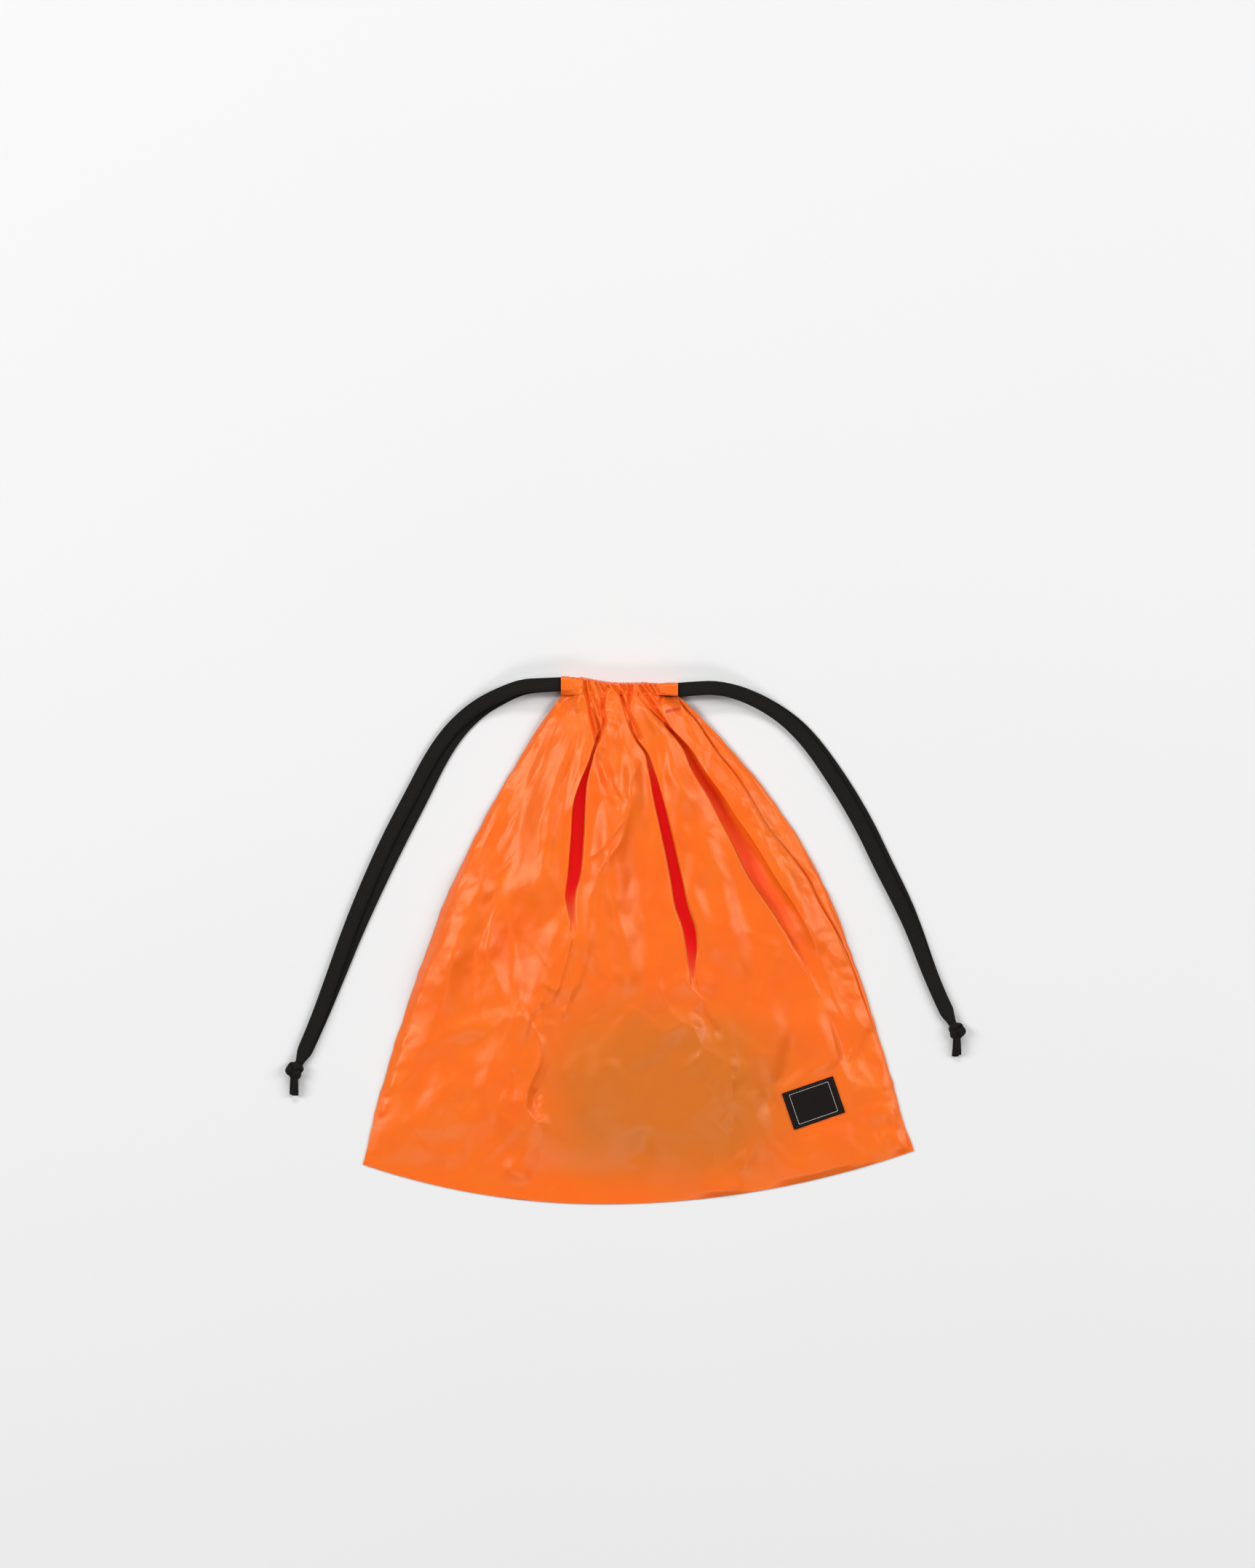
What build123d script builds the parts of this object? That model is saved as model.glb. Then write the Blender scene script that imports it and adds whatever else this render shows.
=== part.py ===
from build123d import *
import math
import os

# A drawstring stuff sack lying flat on its back, its mouth drawn in by two cord loops.
# +X runs across the sack, +Y from the bottom edge to the mouth, +Z up through both cloths.

# ---------------------------------------------------------------- driving dimensions, mm
# sack
sack_length = 362.0  # top of the casing to the lowest point of the bottom edge
sack_width = 378.5  # between the two bottom corners
left_corner_rise = 27.2  # left bottom corner above the lowest point
right_corner_rise = 36.7  # right bottom corner above the lowest point
lowest_point_x = -25.0  # where the bottom edge is lowest
left_bow = 19.6  # how far the left side bows out from a straight line
left_bow_lean = 0.47  # how far that bow leans towards the mouth
right_bow = 30.6
right_bow_lean = 1.09
cloth = 0.6  # thickness of the panel shells
crown_heights = (16.8, 25.0, 26.0, 18.0, 4.5)  # front cloth above the back cloth, mouth to bottom
crown_lead = 30.0  # how far in from a side edge the front cloth has risen
edge_rim = 2.0  # width along which front and back meet at the side seams

# casing (the tunnel round the mouth)
collar_width = 80.0  # across the gathered mouth, sleeve end to sleeve end
collar_shift = -13.0  # middle of the gathered mouth from the middle of the sack
casing_wall = 0.6
mouth_slit = 5.4  # free height between front and back casing
sleeve_length = 17.0  # smooth tunnel end at each side
ruffle_count = 9  # gathers standing on the front casing
ruffle_height = 1.8
collar_gap = 0.5  # between the sleeves, which travel, and the panels

# seams and threads
seam_width = 7.0  # seam allowance inside each side
seam_thickness = 0.5
seam_inset = 4.5  # outer edge of the allowance from the side edge
thread = 0.4
stitch_length = 2.2
stitch_pitch = 3.6
bar_tack_length = 10.0
bar_tack_width = 3.0
bar_tack_drop = 9.0  # below the top of the panels
bar_tack_inset = 3.0

# woven label
label_width = 37.0
label_height = 26.5
label_thickness = 0.6
sewn_gap = 0.15  # between layers that are sewn to the front cloth
label_angle = 19.0
label_x = 120.0
label_rise = 70.0  # middle of the label above the lowest point
label_stitch_inset = 1.2
label_stitch_length = 1.6
label_stitch_pitch = 3.2

# drawcord, a flat tubular braid that bunches up inside the casing
cord_width = 9.5
cord_thickness = 2.4
bunched_width = 5.0
bunched_thickness = 4.0
cord_clearance = 0.3  # round a bunched cord in the casing
lane_gap = 0.4  # between the two cords that share the casing
flare_length = 5.0  # where a bunched cord spreads flat again
stack_gap = 0.1  # between strands that lie on each other

# knots and tails
knot_length = 13.0
knot_width = 12.0
knot_height = 8.0
knot_round = 2.0
tail_length = 11.0
tail_width = 4.6
tail_thickness = 2.4

# ---------------------------------------------------------------- worked-out places
mouth_y = sack_length / 2
lowest_y = -sack_length / 2
corner_x = sack_width / 2
left_corner_y = lowest_y + left_corner_rise
right_corner_y = lowest_y + right_corner_rise

casing_height = 2 * casing_wall + 2 * cord_clearance + 2 * bunched_width + lane_gap
casing_y = mouth_y - casing_height
casing_mid_y = mouth_y - casing_height / 2
upper_lane_y = casing_mid_y + (lane_gap + bunched_width) / 2
lower_lane_y = casing_mid_y - (lane_gap + bunched_width) / 2
panel_top = casing_y - collar_gap

tunnel_depth = bunched_thickness + 2 * cord_clearance
casing_depth = tunnel_depth + 2 * casing_wall
casing_z = thread
slit_z = casing_z + casing_depth
front_casing_z = slit_z + mouth_slit
collar_top_z = front_casing_z + casing_depth
slit_mid_z = slit_z + mouth_slit / 2
back_leg_z = casing_z + casing_depth / 2
front_leg_z = front_casing_z + casing_depth / 2
bight_radius = (front_leg_z - back_leg_z) / 2

collar_left = collar_shift - collar_width / 2
collar_right = collar_shift + collar_width / 2
bight_reach = bight_radius + bunched_thickness / 2 + cord_clearance
left_bight_x = collar_left + flare_length + bight_reach
right_bight_x = collar_right - flare_length - bight_reach
gather_left = collar_left + sleeve_length
gather_right = collar_right - sleeve_length

back_strand_z = cord_thickness / 2
front_strand_z = back_strand_z + cord_thickness + stack_gap


# ---------------------------------------------------------------- helpers
def block(low, high):
    """A box between two opposite corners."""
    size = [b - a for a, b in zip(low, high)]
    middle = [(a + b) / 2 for a, b in zip(low, high)]
    return Pos(*middle) * Box(*size)


def rod_along_y(radius, x, z, low_y, high_y):
    """A cylinder parallel to Y."""
    middle = (low_y + high_y) / 2
    return Pos(x, middle, z) * Rot(90, 0, 0) * Cylinder(radius, high_y - low_y)


def left_side_x(y):
    """Left side edge of the sack at a height y."""
    s = (panel_top - y) / (panel_top - left_corner_y)
    bow = 4 * left_bow * s * (1 - s) * (1 + left_bow_lean * (0.5 - s))
    return collar_left + (-corner_x - collar_left) * s - bow


def right_side_x(y):
    """Right side edge of the sack at a height y."""
    s = (panel_top - y) / (panel_top - right_corner_y)
    bow = 4 * right_bow * s * (1 - s) * (1 + right_bow_lean * (0.5 - s))
    return collar_right + (corner_x - collar_right) * s + bow


def spread(low, high, count):
    """Evenly spaced values from low to high."""
    return [low + (high - low) * i / (count - 1) for i in range(count)]


def bottom_arcs(inset):
    """The bottom edge: two arcs that meet level at its lowest point, moved up by inset."""
    low = (lowest_point_x, lowest_y + inset)
    left = (-corner_x, left_corner_y + inset)
    right = (corner_x, right_corner_y + inset)
    return [TangentArc(low, right, tangent=(1, 0)), TangentArc(low, left, tangent=(-1, 0))]


def sack_window(inset, top):
    """A tall prism over everything between the bottom edge and the level top."""
    upper_left = (-corner_x, top)
    upper_right = (corner_x, top)
    sides = [
        Line((corner_x, right_corner_y + inset), upper_right),
        Line(upper_right, upper_left),
        Line(upper_left, (-corner_x, left_corner_y + inset)),
    ]
    height = 3 * max(crown_heights)
    return Pos(0, 0, -height / 2) * extrude(make_face(bottom_arcs(inset) + sides), height)


def dome(lift, rim=0.0, sink=0.0):
    """The space under the front cloth, lofted through one crowned section per crown height."""
    sections = []
    overrun = 4.0
    levels = spread(panel_top + overrun, lowest_y - overrun, len(crown_heights))
    for y, crown in zip(levels, crown_heights):
        left, right = left_side_x(y) + rim, right_side_x(y) - rim
        reach = 4 / 3 * (crown + lift)
        foot_z = cloth - sink
        crest = Bezier(
            (left, y, cloth),
            (left + crown_lead, y, cloth + reach),
            (right - crown_lead, y, cloth + reach),
            (right, y, cloth),
        )
        if sink:
            foot = Polyline((right, y, cloth), (right, y, foot_z), (left, y, foot_z), (left, y, cloth))
        else:
            foot = Line((right, y, cloth), (left, y, cloth))
        sections.append(make_face([*crest.edges(), *foot.edges()]))
    return loft(sections)


def stitch(x, y, z, angle, length=stitch_length, width=thread, height=thread):
    """One stitch lying on the level z, turned by angle about Z."""
    return Pos(x, y, z + height / 2) * Rot(0, 0, angle) * Box(length, width, height)


# ---------------------------------------------------------------- panels
def front_panel():
    shell = dome(0) & sack_window(0, panel_top)
    hollow = dome(-cloth, rim=edge_rim, sink=1.0) & sack_window(cloth, panel_top + 2.0)
    return shell - hollow


def back_panel():
    left_ys = spread(panel_top, left_corner_y, 6)
    right_ys = spread(right_corner_y, panel_top, 6)
    outline = bottom_arcs(0) + [
        Spline([(right_side_x(y), y) for y in right_ys]),
        Line((collar_right, panel_top), (collar_left, panel_top)),
        Spline([(left_side_x(y), y) for y in left_ys]),
    ]
    return extrude(make_face(outline), cloth)


def seam_allowance(side_x, corner_y, inward):
    """The folded cloth edges along one side, flat on the back panel inside the sack."""
    ys = spread(panel_top - 2.0, corner_y + 10.0, 6)
    outer = [(side_x(y) + inward * seam_inset, y) for y in ys]
    inner = [(x + inward * seam_width, y) for x, y in outer]
    outline = [Spline(outer), Line(outer[-1], inner[-1]), Spline(inner), Line(inner[0], outer[0])]
    return Pos(0, 0, cloth) * extrude(make_face(outline), seam_thickness)


def seam_thread(side_x, corner_y, inward):
    """The row of stitches down the middle of one seam allowance."""
    top, bottom = panel_top - 6.0, corner_y + 14.0
    count = int((top - bottom) / stitch_pitch)
    stitches = []
    for y in spread(top, bottom, count):
        x = side_x(y) + inward * (seam_inset + seam_width / 2)
        lean = math.degrees(math.atan2(2.0, side_x(y + 1) - side_x(y - 1)))
        stitches.append(stitch(x, y, cloth + seam_thickness, lean))
    return Compound(stitches)


# ---------------------------------------------------------------- casing
def tunnel_cut(low_x, high_x, low_z):
    """The bore of one casing tunnel."""
    low = (low_x, casing_y + casing_wall, low_z + casing_wall)
    high = (high_x, mouth_y - casing_wall, low_z + casing_wall + tunnel_depth)
    return block(low, high)


def gathers(low_z):
    """Front or back casing between the sleeves: a tunnel sewn to the top of its panel."""
    outer = block((gather_left, panel_top, low_z), (gather_right, mouth_y, low_z + casing_depth))
    return outer - tunnel_cut(gather_left, gather_right, low_z)


def ruffles():
    """The gathers that stand on the front casing, as low round ridges."""
    pitch = (gather_right - gather_left) / ruffle_count
    ridges = []
    for i in range(ruffle_count):
        x = gather_left + pitch * (i + 0.5)
        radius = pitch / 2
        ridge = rod_along_y(radius, x, collar_top_z, casing_y + 2 * thread, mouth_y)
        slab = block(
            (x - pitch, casing_y, collar_top_z), (x + pitch, mouth_y, collar_top_z + ruffle_height)
        )
        ridges.append(ridge & slab)
    return ridges


def sleeve(end_x, bight_x, inner_x):
    """One end of the casing: a tunnel open at the side, with the mouth slit ending inside it."""
    low_x, high_x = min(end_x, inner_x), max(end_x, inner_x)
    shell = block((low_x, casing_y, casing_z), (high_x, mouth_y, collar_top_z))
    bore = block(
        (low_x, casing_y + casing_wall, casing_z + casing_wall),
        (high_x, mouth_y - casing_wall, collar_top_z - casing_wall),
    )
    core_low, core_high = min(bight_x, inner_x), max(bight_x, inner_x)
    core_radius = mouth_slit / 2 + casing_wall
    slit_radius = mouth_slit / 2
    core = rod_along_y(core_radius, bight_x, slit_mid_z, casing_y, mouth_y) + block(
        (core_low, casing_y, slit_mid_z - core_radius), (core_high, mouth_y, slit_mid_z + core_radius)
    )
    slit = rod_along_y(slit_radius, bight_x, slit_mid_z, casing_y - 1, mouth_y + 1) + block(
        (core_low, casing_y - 1, slit_mid_z - slit_radius), (core_high, mouth_y + 1, slit_mid_z + slit_radius)
    )
    return (shell - bore) + core - slit


def casing_stitches(low_x, high_x, z):
    """The row of stitches that closes the casing, between two places across it."""
    count = max(2, int((high_x - low_x) / stitch_pitch))
    margin = (high_x - low_x) / count / 2
    xs = spread(low_x + margin, high_x - margin, count)
    return [stitch(x, casing_y + thread, z, 0) for x in xs]


# ---------------------------------------------------------------- what is sewn to the front cloth
def layer_on_front(low, high):
    """A skin that lies on the front cloth, from low to high above it."""
    return dome(high) - dome(low)


def label_prism(width, height, x=0.0, y=0.0):
    """A tall prism over a part of the label, x and y from its middle along its own edges."""
    place = Pos(label_x, lowest_y + label_rise, 0) * Rot(0, 0, label_angle) * Pos(x, y, 0)
    return place * Box(width, height, 4 * max(crown_heights))


def label_stitches():
    """Stitches round the label, a set distance in from its edge."""
    half_x = label_width / 2 - label_stitch_inset
    half_y = label_height / 2 - label_stitch_inset
    across = int(2 * half_x / label_stitch_pitch)
    upright = int(2 * half_y / label_stitch_pitch)
    prisms = []
    for x in spread(-half_x + label_stitch_length, half_x - label_stitch_length, across):
        prisms += [label_prism(label_stitch_length, thread, x, y) for y in (-half_y, half_y)]
    for y in spread(-half_y + label_stitch_length, half_y - label_stitch_length, upright):
        prisms += [label_prism(thread, label_stitch_length, x, y) for x in (-half_x, half_x)]
    low = 2 * sewn_gap + label_thickness
    skin = layer_on_front(low, low + thread)
    return Compound([piece for prism in prisms for piece in (skin & prism).solids()])


def bar_tack(side_x, inward):
    """A dense bar of thread across the top of one side seam."""
    y = panel_top - bar_tack_drop
    x = side_x(y) + inward * (bar_tack_inset + bar_tack_length / 2)
    prism = Pos(x, y, 0) * Box(bar_tack_length, bar_tack_width, 4 * max(crown_heights))
    return layer_on_front(sewn_gap, sewn_gap + thread) & prism


# ---------------------------------------------------------------- drawcords
# Each route runs from the sleeve end to the knot: x, y and z from the exit, in mm.
# z is taken from the surface that the sack lies on.
left_front_route = [
    (0, 0, front_leg_z), (-13, 0, front_leg_z), (-27, 0, 12.5), (-41.5, -5.4, 9), (-56, -12.6, 6),
    (-68.5, -22.3, 4.3), (-79.2, -33.8, front_strand_z), (-89.8, -49.3, front_strand_z),
    (-102.2, -73.3, front_strand_z), (-117.3, -101.7, front_strand_z), (-131, -131.5, front_strand_z),
    (-145.3, -166.4, front_strand_z), (-158.4, -203.9, front_strand_z), (-169.6, -234.6, front_strand_z),
    (-180, -258.5, front_strand_z),
]
left_back_route = [
    (0, 0, back_leg_z), (-13, 0, back_leg_z), (-27, -1, 2.6), (-40.5, -7.4, 1.6), (-54, -15.2, back_strand_z),
    (-65.5, -25.5, back_strand_z), (-74.8, -37, back_strand_z), (-84.2, -52.5, back_strand_z),
    (-95.8, -76.5, back_strand_z), (-110.7, -105.1, back_strand_z), (-125, -134.3, back_strand_z),
    (-140.7, -168.4, back_strand_z), (-155.6, -204.9, back_strand_z), (-168.4, -235.2, back_strand_z),
    (-179.3, -258.4, back_strand_z),
]
right_front_route = [
    (0, 0, front_leg_z), (13, 0, front_leg_z), (27, -1, 12.5), (42, -4.7, 9), (56.8, -11.3, 6),
    (70.6, -20, 4.3), (82.1, -30.3, front_strand_z), (92.8, -42.8, front_strand_z),
    (103.5, -58.4, front_strand_z), (115.3, -76.9, front_strand_z), (127.7, -98.8, front_strand_z),
    (139.2, -123.3, front_strand_z), (151.9, -147.7, front_strand_z), (162, -169.3, front_strand_z),
    (171.5, -194.6, front_strand_z), (180.8, -216, front_strand_z), (188.3, -231.6, front_strand_z),
]
right_back_route = [
    (0, 0, back_leg_z), (13, 0, back_leg_z), (27, -1, 2.6), (42, -4.1, 1.6), (57.2, -10.5, back_strand_z),
    (71.4, -18.8, back_strand_z), (83.9, -28.5, back_strand_z), (95.2, -41, back_strand_z),
    (106.5, -56.4, back_strand_z), (118.7, -74.9, back_strand_z), (131.3, -97, back_strand_z),
    (142.8, -121.5, back_strand_z), (155.1, -146.1, back_strand_z), (164, -168.5, back_strand_z),
    (172.5, -194.2, back_strand_z), (181.2, -215.8, back_strand_z), (188.7, -230.9, back_strand_z),
]


def fillet_radii(points):
    """For each corner, the largest arc that its two runs allow."""
    radii = []
    for before, corner, after in zip(points, points[1:], points[2:]):
        first, second = Vector(*corner) - Vector(*before), Vector(*after) - Vector(*corner)
        half_turn = math.radians(first.get_angle(second)) / 2
        radii.append(0.45 * min(first.length, second.length) / math.tan(half_turn))
    return radii


def upright_at_start(points):
    """The section's upward direction at the exit that leaves the strand level at its far end."""
    runs = [(Vector(*b) - Vector(*a)).normalized() for a, b in zip(points, points[1:])]
    up = Vector(0, 0, 1)
    for run, earlier in zip(reversed(runs), reversed(runs[:-1])):
        turn = run.cross(earlier)
        up = up + turn.cross(up) + turn.cross(turn.cross(up)) / (1 + run.dot(earlier))
    return up


def free_strand(name, exit_x, route):
    """A flat strand from its sleeve end to the knot, lying on the surface."""
    points = [(exit_x + x, casing_mid_y + y, z) for x, y, z in route]
    radii = fillet_radii(points)
    path = FilletPolyline(*points, radius=radii)
    outward = Vector(math.copysign(1, route[1][0]), 0, 0)
    start = Plane(points[0], x_dir=outward.cross(upright_at_start(points)), z_dir=outward)
    section = start * RectangleRounded(cord_width, cord_thickness, 0.45 * cord_thickness)
    tube = sweep(section, path=path)
    expected = section.area * path.length
    print(f"{name}: length {path.length:.1f}, radii {[round(r) for r in radii]}")
    print(f"{name}: volume {tube.volume:.0f}, section times length {expected:.0f}")
    return tube


def flare(end_x, outward, lane_y, z):
    """The end of a cord inside its sleeve, where it spreads from bunched to flat."""
    inner = Plane((end_x - outward * flare_length, lane_y, z), x_dir=(0, 1, 0), z_dir=(outward, 0, 0))
    outer = Plane((end_x, casing_mid_y, z), x_dir=(0, 1, 0), z_dir=(outward, 0, 0))
    bunched = inner * RectangleRounded(bunched_width, bunched_thickness, 0.2 * bunched_thickness)
    flat = outer * RectangleRounded(cord_width, cord_thickness, 0.45 * cord_thickness)
    return loft([bunched, flat])


def casing_loop(end_x, bight_x, lane_y):
    """The hidden part of one cord: along the front casing, round the far end and back."""
    outward = math.copysign(1, end_x - bight_x)
    low_y, high_y = lane_y - bunched_width / 2, lane_y + bunched_width / 2
    leg_end = end_x - outward * flare_length
    low_x, high_x = min(leg_end, bight_x), max(leg_end, bight_x)
    loop = rod_along_y(bight_radius + bunched_thickness / 2, bight_x, slit_mid_z, low_y, high_y)
    loop -= rod_along_y(bight_radius - bunched_thickness / 2, bight_x, slit_mid_z, low_y, high_y)
    loop -= block((low_x, low_y, 0), (high_x, high_y, 2 * collar_top_z))
    for z in (front_leg_z, back_leg_z):
        loop += block(
            (low_x, low_y, z - bunched_thickness / 2), (high_x, high_y, z + bunched_thickness / 2)
        )
        loop += flare(end_x, outward, lane_y, z)
    return loop


def knot_place(exit_x, route, along=0.0, aside=0.0):
    """A place on the surface, from where a cord meets its knot: along the cord, and aside."""
    (x1, y1, _), (x2, y2, _) = route[-2], route[-1]
    heading = math.degrees(math.atan2(y2 - y1, x2 - x1))
    return Pos(exit_x + x2, casing_mid_y + y2, 0) * Rot(0, 0, heading) * Pos(along, aside, 0)


def knot(exit_x, route):
    lump = Box(knot_length, knot_width, knot_height)
    lump = fillet(lump.edges(), knot_round)
    return knot_place(exit_x, route, along=knot_length / 2) * Pos(0, 0, knot_height / 2) * lump


def tail(exit_x, route, aside, low_z):
    """One cord end that sticks out of the knot."""
    end = fillet(Box(tail_length, tail_width, tail_thickness).edges().filter_by(Axis.X), 0.8)
    middle = knot_length + tail_length / 2
    return knot_place(exit_x, route, middle, aside) * Pos(0, 0, low_z + tail_thickness / 2) * end


# ---------------------------------------------------------------- assembly
label_layer = layer_on_front(sewn_gap, sewn_gap + label_thickness)

nodes = {
    "front_panel": front_panel(),
    "back_panel": back_panel(),
    "left_seam_allowance": seam_allowance(left_side_x, left_corner_y, 1),
    "right_seam_allowance": seam_allowance(right_side_x, right_corner_y, -1),
    "left_seam_thread": seam_thread(left_side_x, left_corner_y, 1),
    "right_seam_thread": seam_thread(right_side_x, right_corner_y, -1),
    "front_gathers": gathers(front_casing_z) + ruffles(),
    "back_gathers": gathers(casing_z),
    "left_sleeve": sleeve(collar_left, left_bight_x, gather_left),
    "right_sleeve": sleeve(collar_right, right_bight_x, gather_right),
    "front_casing_stitches": Compound(casing_stitches(gather_left, gather_right, collar_top_z)),
    "back_casing_stitches": Compound(casing_stitches(gather_left, gather_right, 0)),
    "left_sleeve_stitches": Compound(
        casing_stitches(collar_left, gather_left, collar_top_z) + casing_stitches(collar_left, gather_left, 0)
    ),
    "right_sleeve_stitches": Compound(
        casing_stitches(gather_right, collar_right, collar_top_z)
        + casing_stitches(gather_right, collar_right, 0)
    ),
    "left_bar_tack": bar_tack(left_side_x, 1),
    "right_bar_tack": bar_tack(right_side_x, -1),
    "label": label_layer & label_prism(label_width, label_height),
    "label_stitches": label_stitches(),
    "left_cord_casing_loop": casing_loop(collar_left, right_bight_x, upper_lane_y),
    "right_cord_casing_loop": casing_loop(collar_right, left_bight_x, lower_lane_y),
}

for side, exit_x, front_route, back_route in (
    ("left", collar_left, left_front_route, left_back_route),
    ("right", collar_right, right_front_route, right_back_route),
):
    nodes[f"{side}_front_strand"] = free_strand(f"{side}_front_strand", exit_x, front_route)
    nodes[f"{side}_back_strand"] = free_strand(f"{side}_back_strand", exit_x, back_route)
    nodes[f"{side}_knot"] = knot(exit_x, front_route)
    nodes[f"{side}_front_tail"] = tail(exit_x, front_route, 1.8, tail_thickness + stack_gap)
    nodes[f"{side}_back_tail"] = tail(exit_x, front_route, -1.8, 0)

os.makedirs("parts", exist_ok=True)
for name, shape in nodes.items():
    export_step(shape, f"parts/{name}.step")
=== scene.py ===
import math

import bpy
import numpy as np
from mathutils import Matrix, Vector, geometry
from mathutils.bvhtree import BVHTree


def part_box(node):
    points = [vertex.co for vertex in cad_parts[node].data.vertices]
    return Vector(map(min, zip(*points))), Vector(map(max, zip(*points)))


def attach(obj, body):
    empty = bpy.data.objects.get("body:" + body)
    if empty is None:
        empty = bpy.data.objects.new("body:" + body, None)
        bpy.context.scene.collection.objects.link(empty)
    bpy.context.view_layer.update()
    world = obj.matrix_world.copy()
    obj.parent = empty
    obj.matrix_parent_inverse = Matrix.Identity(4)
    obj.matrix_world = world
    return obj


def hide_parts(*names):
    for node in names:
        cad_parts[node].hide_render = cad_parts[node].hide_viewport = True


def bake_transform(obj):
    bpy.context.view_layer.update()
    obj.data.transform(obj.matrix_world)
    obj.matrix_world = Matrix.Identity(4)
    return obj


# The looks of a drawstring stuff sack that lies flat, its mouth drawn in by two cord loops.
# Lengths are in metres, in the frame of the CAD model: +X across the sack, +Y to its mouth, +Z up.

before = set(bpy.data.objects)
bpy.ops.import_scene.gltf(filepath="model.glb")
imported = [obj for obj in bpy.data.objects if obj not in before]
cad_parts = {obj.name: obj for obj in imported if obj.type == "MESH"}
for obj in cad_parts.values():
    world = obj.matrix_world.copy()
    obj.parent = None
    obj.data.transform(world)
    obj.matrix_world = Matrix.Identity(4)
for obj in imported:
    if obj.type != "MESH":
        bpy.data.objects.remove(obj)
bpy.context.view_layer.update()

# ---------------------------------------------------------------- places taken from the frame
left_low, left_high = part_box("left_sleeve")
right_low, right_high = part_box("right_sleeve")
back_low, back_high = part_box("back_panel")
collar_left, collar_right = left_low.x, right_high.x
casing_y, mouth_y = left_low.y, left_high.y
casing_mid_y = (casing_y + mouth_y) / 2
collar_top = left_high.z
collar_mid_z = collar_top / 2
panel_top = back_high.y
lowest_y = back_low.y
corner_x = back_high.x
gather_left, gather_right = left_high.x, right_low.x
collar_mid_x = (collar_left + collar_right) / 2
EXIT_X = {"left": collar_left, "right": collar_right}  # where the cords leave the sleeves

# ---------------------------------------------------------------- sizes
# outline of the sack
left_corner_y = lowest_y + 0.0272
right_corner_y = lowest_y + 0.0367
lowest_x = -0.025
left_bow, left_bow_lean = 0.0196, 0.47
right_bow, right_bow_lean = 0.0306, 1.09

# cloth
crown = [(0.1683, 0.0165), (0.13, 0.018), (0.05, 0.019), (-0.05, 0.015), (-0.12, 0.0095), (-0.18, 0.003)]
edge_height = 0.0009  # where front and back cloth meet, above the floor
back_height = 0.0003
casing_rows = 30
panel_rows = 289
back_columns = 121
sheet_gap = 0.0008  # the least gap between front and back cloth

# drawcord
cord_width = 0.0095
cord_thickness = 0.0024
cord_ribs = 6

# label
label_size = (0.037, 0.0265)
label_thickness = 0.0005
label_place = (0.120, lowest_y + 0.070)
label_angle = math.radians(19)

# bar tacks
tack_length, tack_width, tack_stitches = 0.010, 0.0026, 16
tack_slope = math.radians(12)


# ---------------------------------------------------------------- helpers
def smoothstep(low, high, value):
    """0 at low and before it, 1 at high and past it, and a soft step between; low may be the larger."""
    s = np.clip((value - low) / (high - low), 0, 1)
    return s * s * (3 - 2 * s)


def eased(start, end, leaving, arriving, s):
    """The smooth curve from start to end, with its slopes there, at the share s of the way."""
    ends = (1 + 2 * s) * (1 - s) ** 2 * start + s * s * (3 - 2 * s) * end
    return ends + s * (1 - s) * ((1 - s) * leaving - s * arriving)


def curve_through(points):
    """A smooth function through given (place, value) points."""
    places, values = np.array(sorted(points)).T
    slopes = np.gradient(values, places)

    def value_at(place):
        place = np.clip(place, places[0], places[-1])
        i = np.clip(np.searchsorted(places, place) - 1, 0, len(places) - 2)
        span = places[i + 1] - places[i]
        s = (place - places[i]) / span
        return eased(values[i], values[i + 1], span * slopes[i], span * slopes[i + 1], s)

    return value_at


def value_noise(x, y, scale, seed):
    """Smooth noise from -1 to 1 that changes over the given length."""
    cells = 64
    table = np.random.default_rng(seed).uniform(-1, 1, (cells, cells))
    gx, gy = x / scale + 20, y / scale + 20
    ix, iy = np.floor(gx).astype(int), np.floor(gy).astype(int)
    fx, fy = gx - ix, gy - iy
    fx, fy = fx * fx * (3 - 2 * fx), fy * fy * (3 - 2 * fy)

    def corner(i, j):
        return table[(ix + i) % cells, (iy + j) % cells]

    low = corner(0, 0) * (1 - fx) + corner(1, 0) * fx
    high = corner(0, 1) * (1 - fx) + corner(1, 1) * fx
    return low * (1 - fy) + high * fy


def distance_along(points):
    """How far each point lies from the first, along the line through them all."""
    steps = np.linalg.norm(np.diff(points, axis=0), axis=1)
    return np.concatenate([[0], np.cumsum(steps)])


def new_object(name, vertices, faces, material):
    """A smooth-shaded mesh object in the scene."""
    mesh = bpy.data.meshes.new(name)
    mesh.from_pydata([tuple(v) for v in np.asarray(vertices, float)], [], [tuple(f) for f in faces])
    mesh.polygons.foreach_set("use_smooth", [True] * len(mesh.polygons))
    mesh.materials.append(material)
    obj = bpy.data.objects.new(name, mesh)
    bpy.context.scene.collection.objects.link(obj)
    return obj


def set_attribute(obj, name, values):
    """Give every vertex a number that the materials read by name."""
    layer = obj.data.attributes.new(name, "FLOAT", "POINT")
    layer.data.foreach_set("value", np.asarray(values, np.float32).ravel())


def grid_faces(rows, columns, turned=False):
    """Quads of a grid of rows by columns of vertices; turned quads face the other way."""
    first = (np.arange(rows - 1)[:, None] * columns + np.arange(columns - 1)[None, :]).ravel()
    quads = np.stack([first, first + 1, first + columns + 1, first + columns], 1)
    return (quads[:, ::-1] if turned else quads).tolist()


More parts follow.
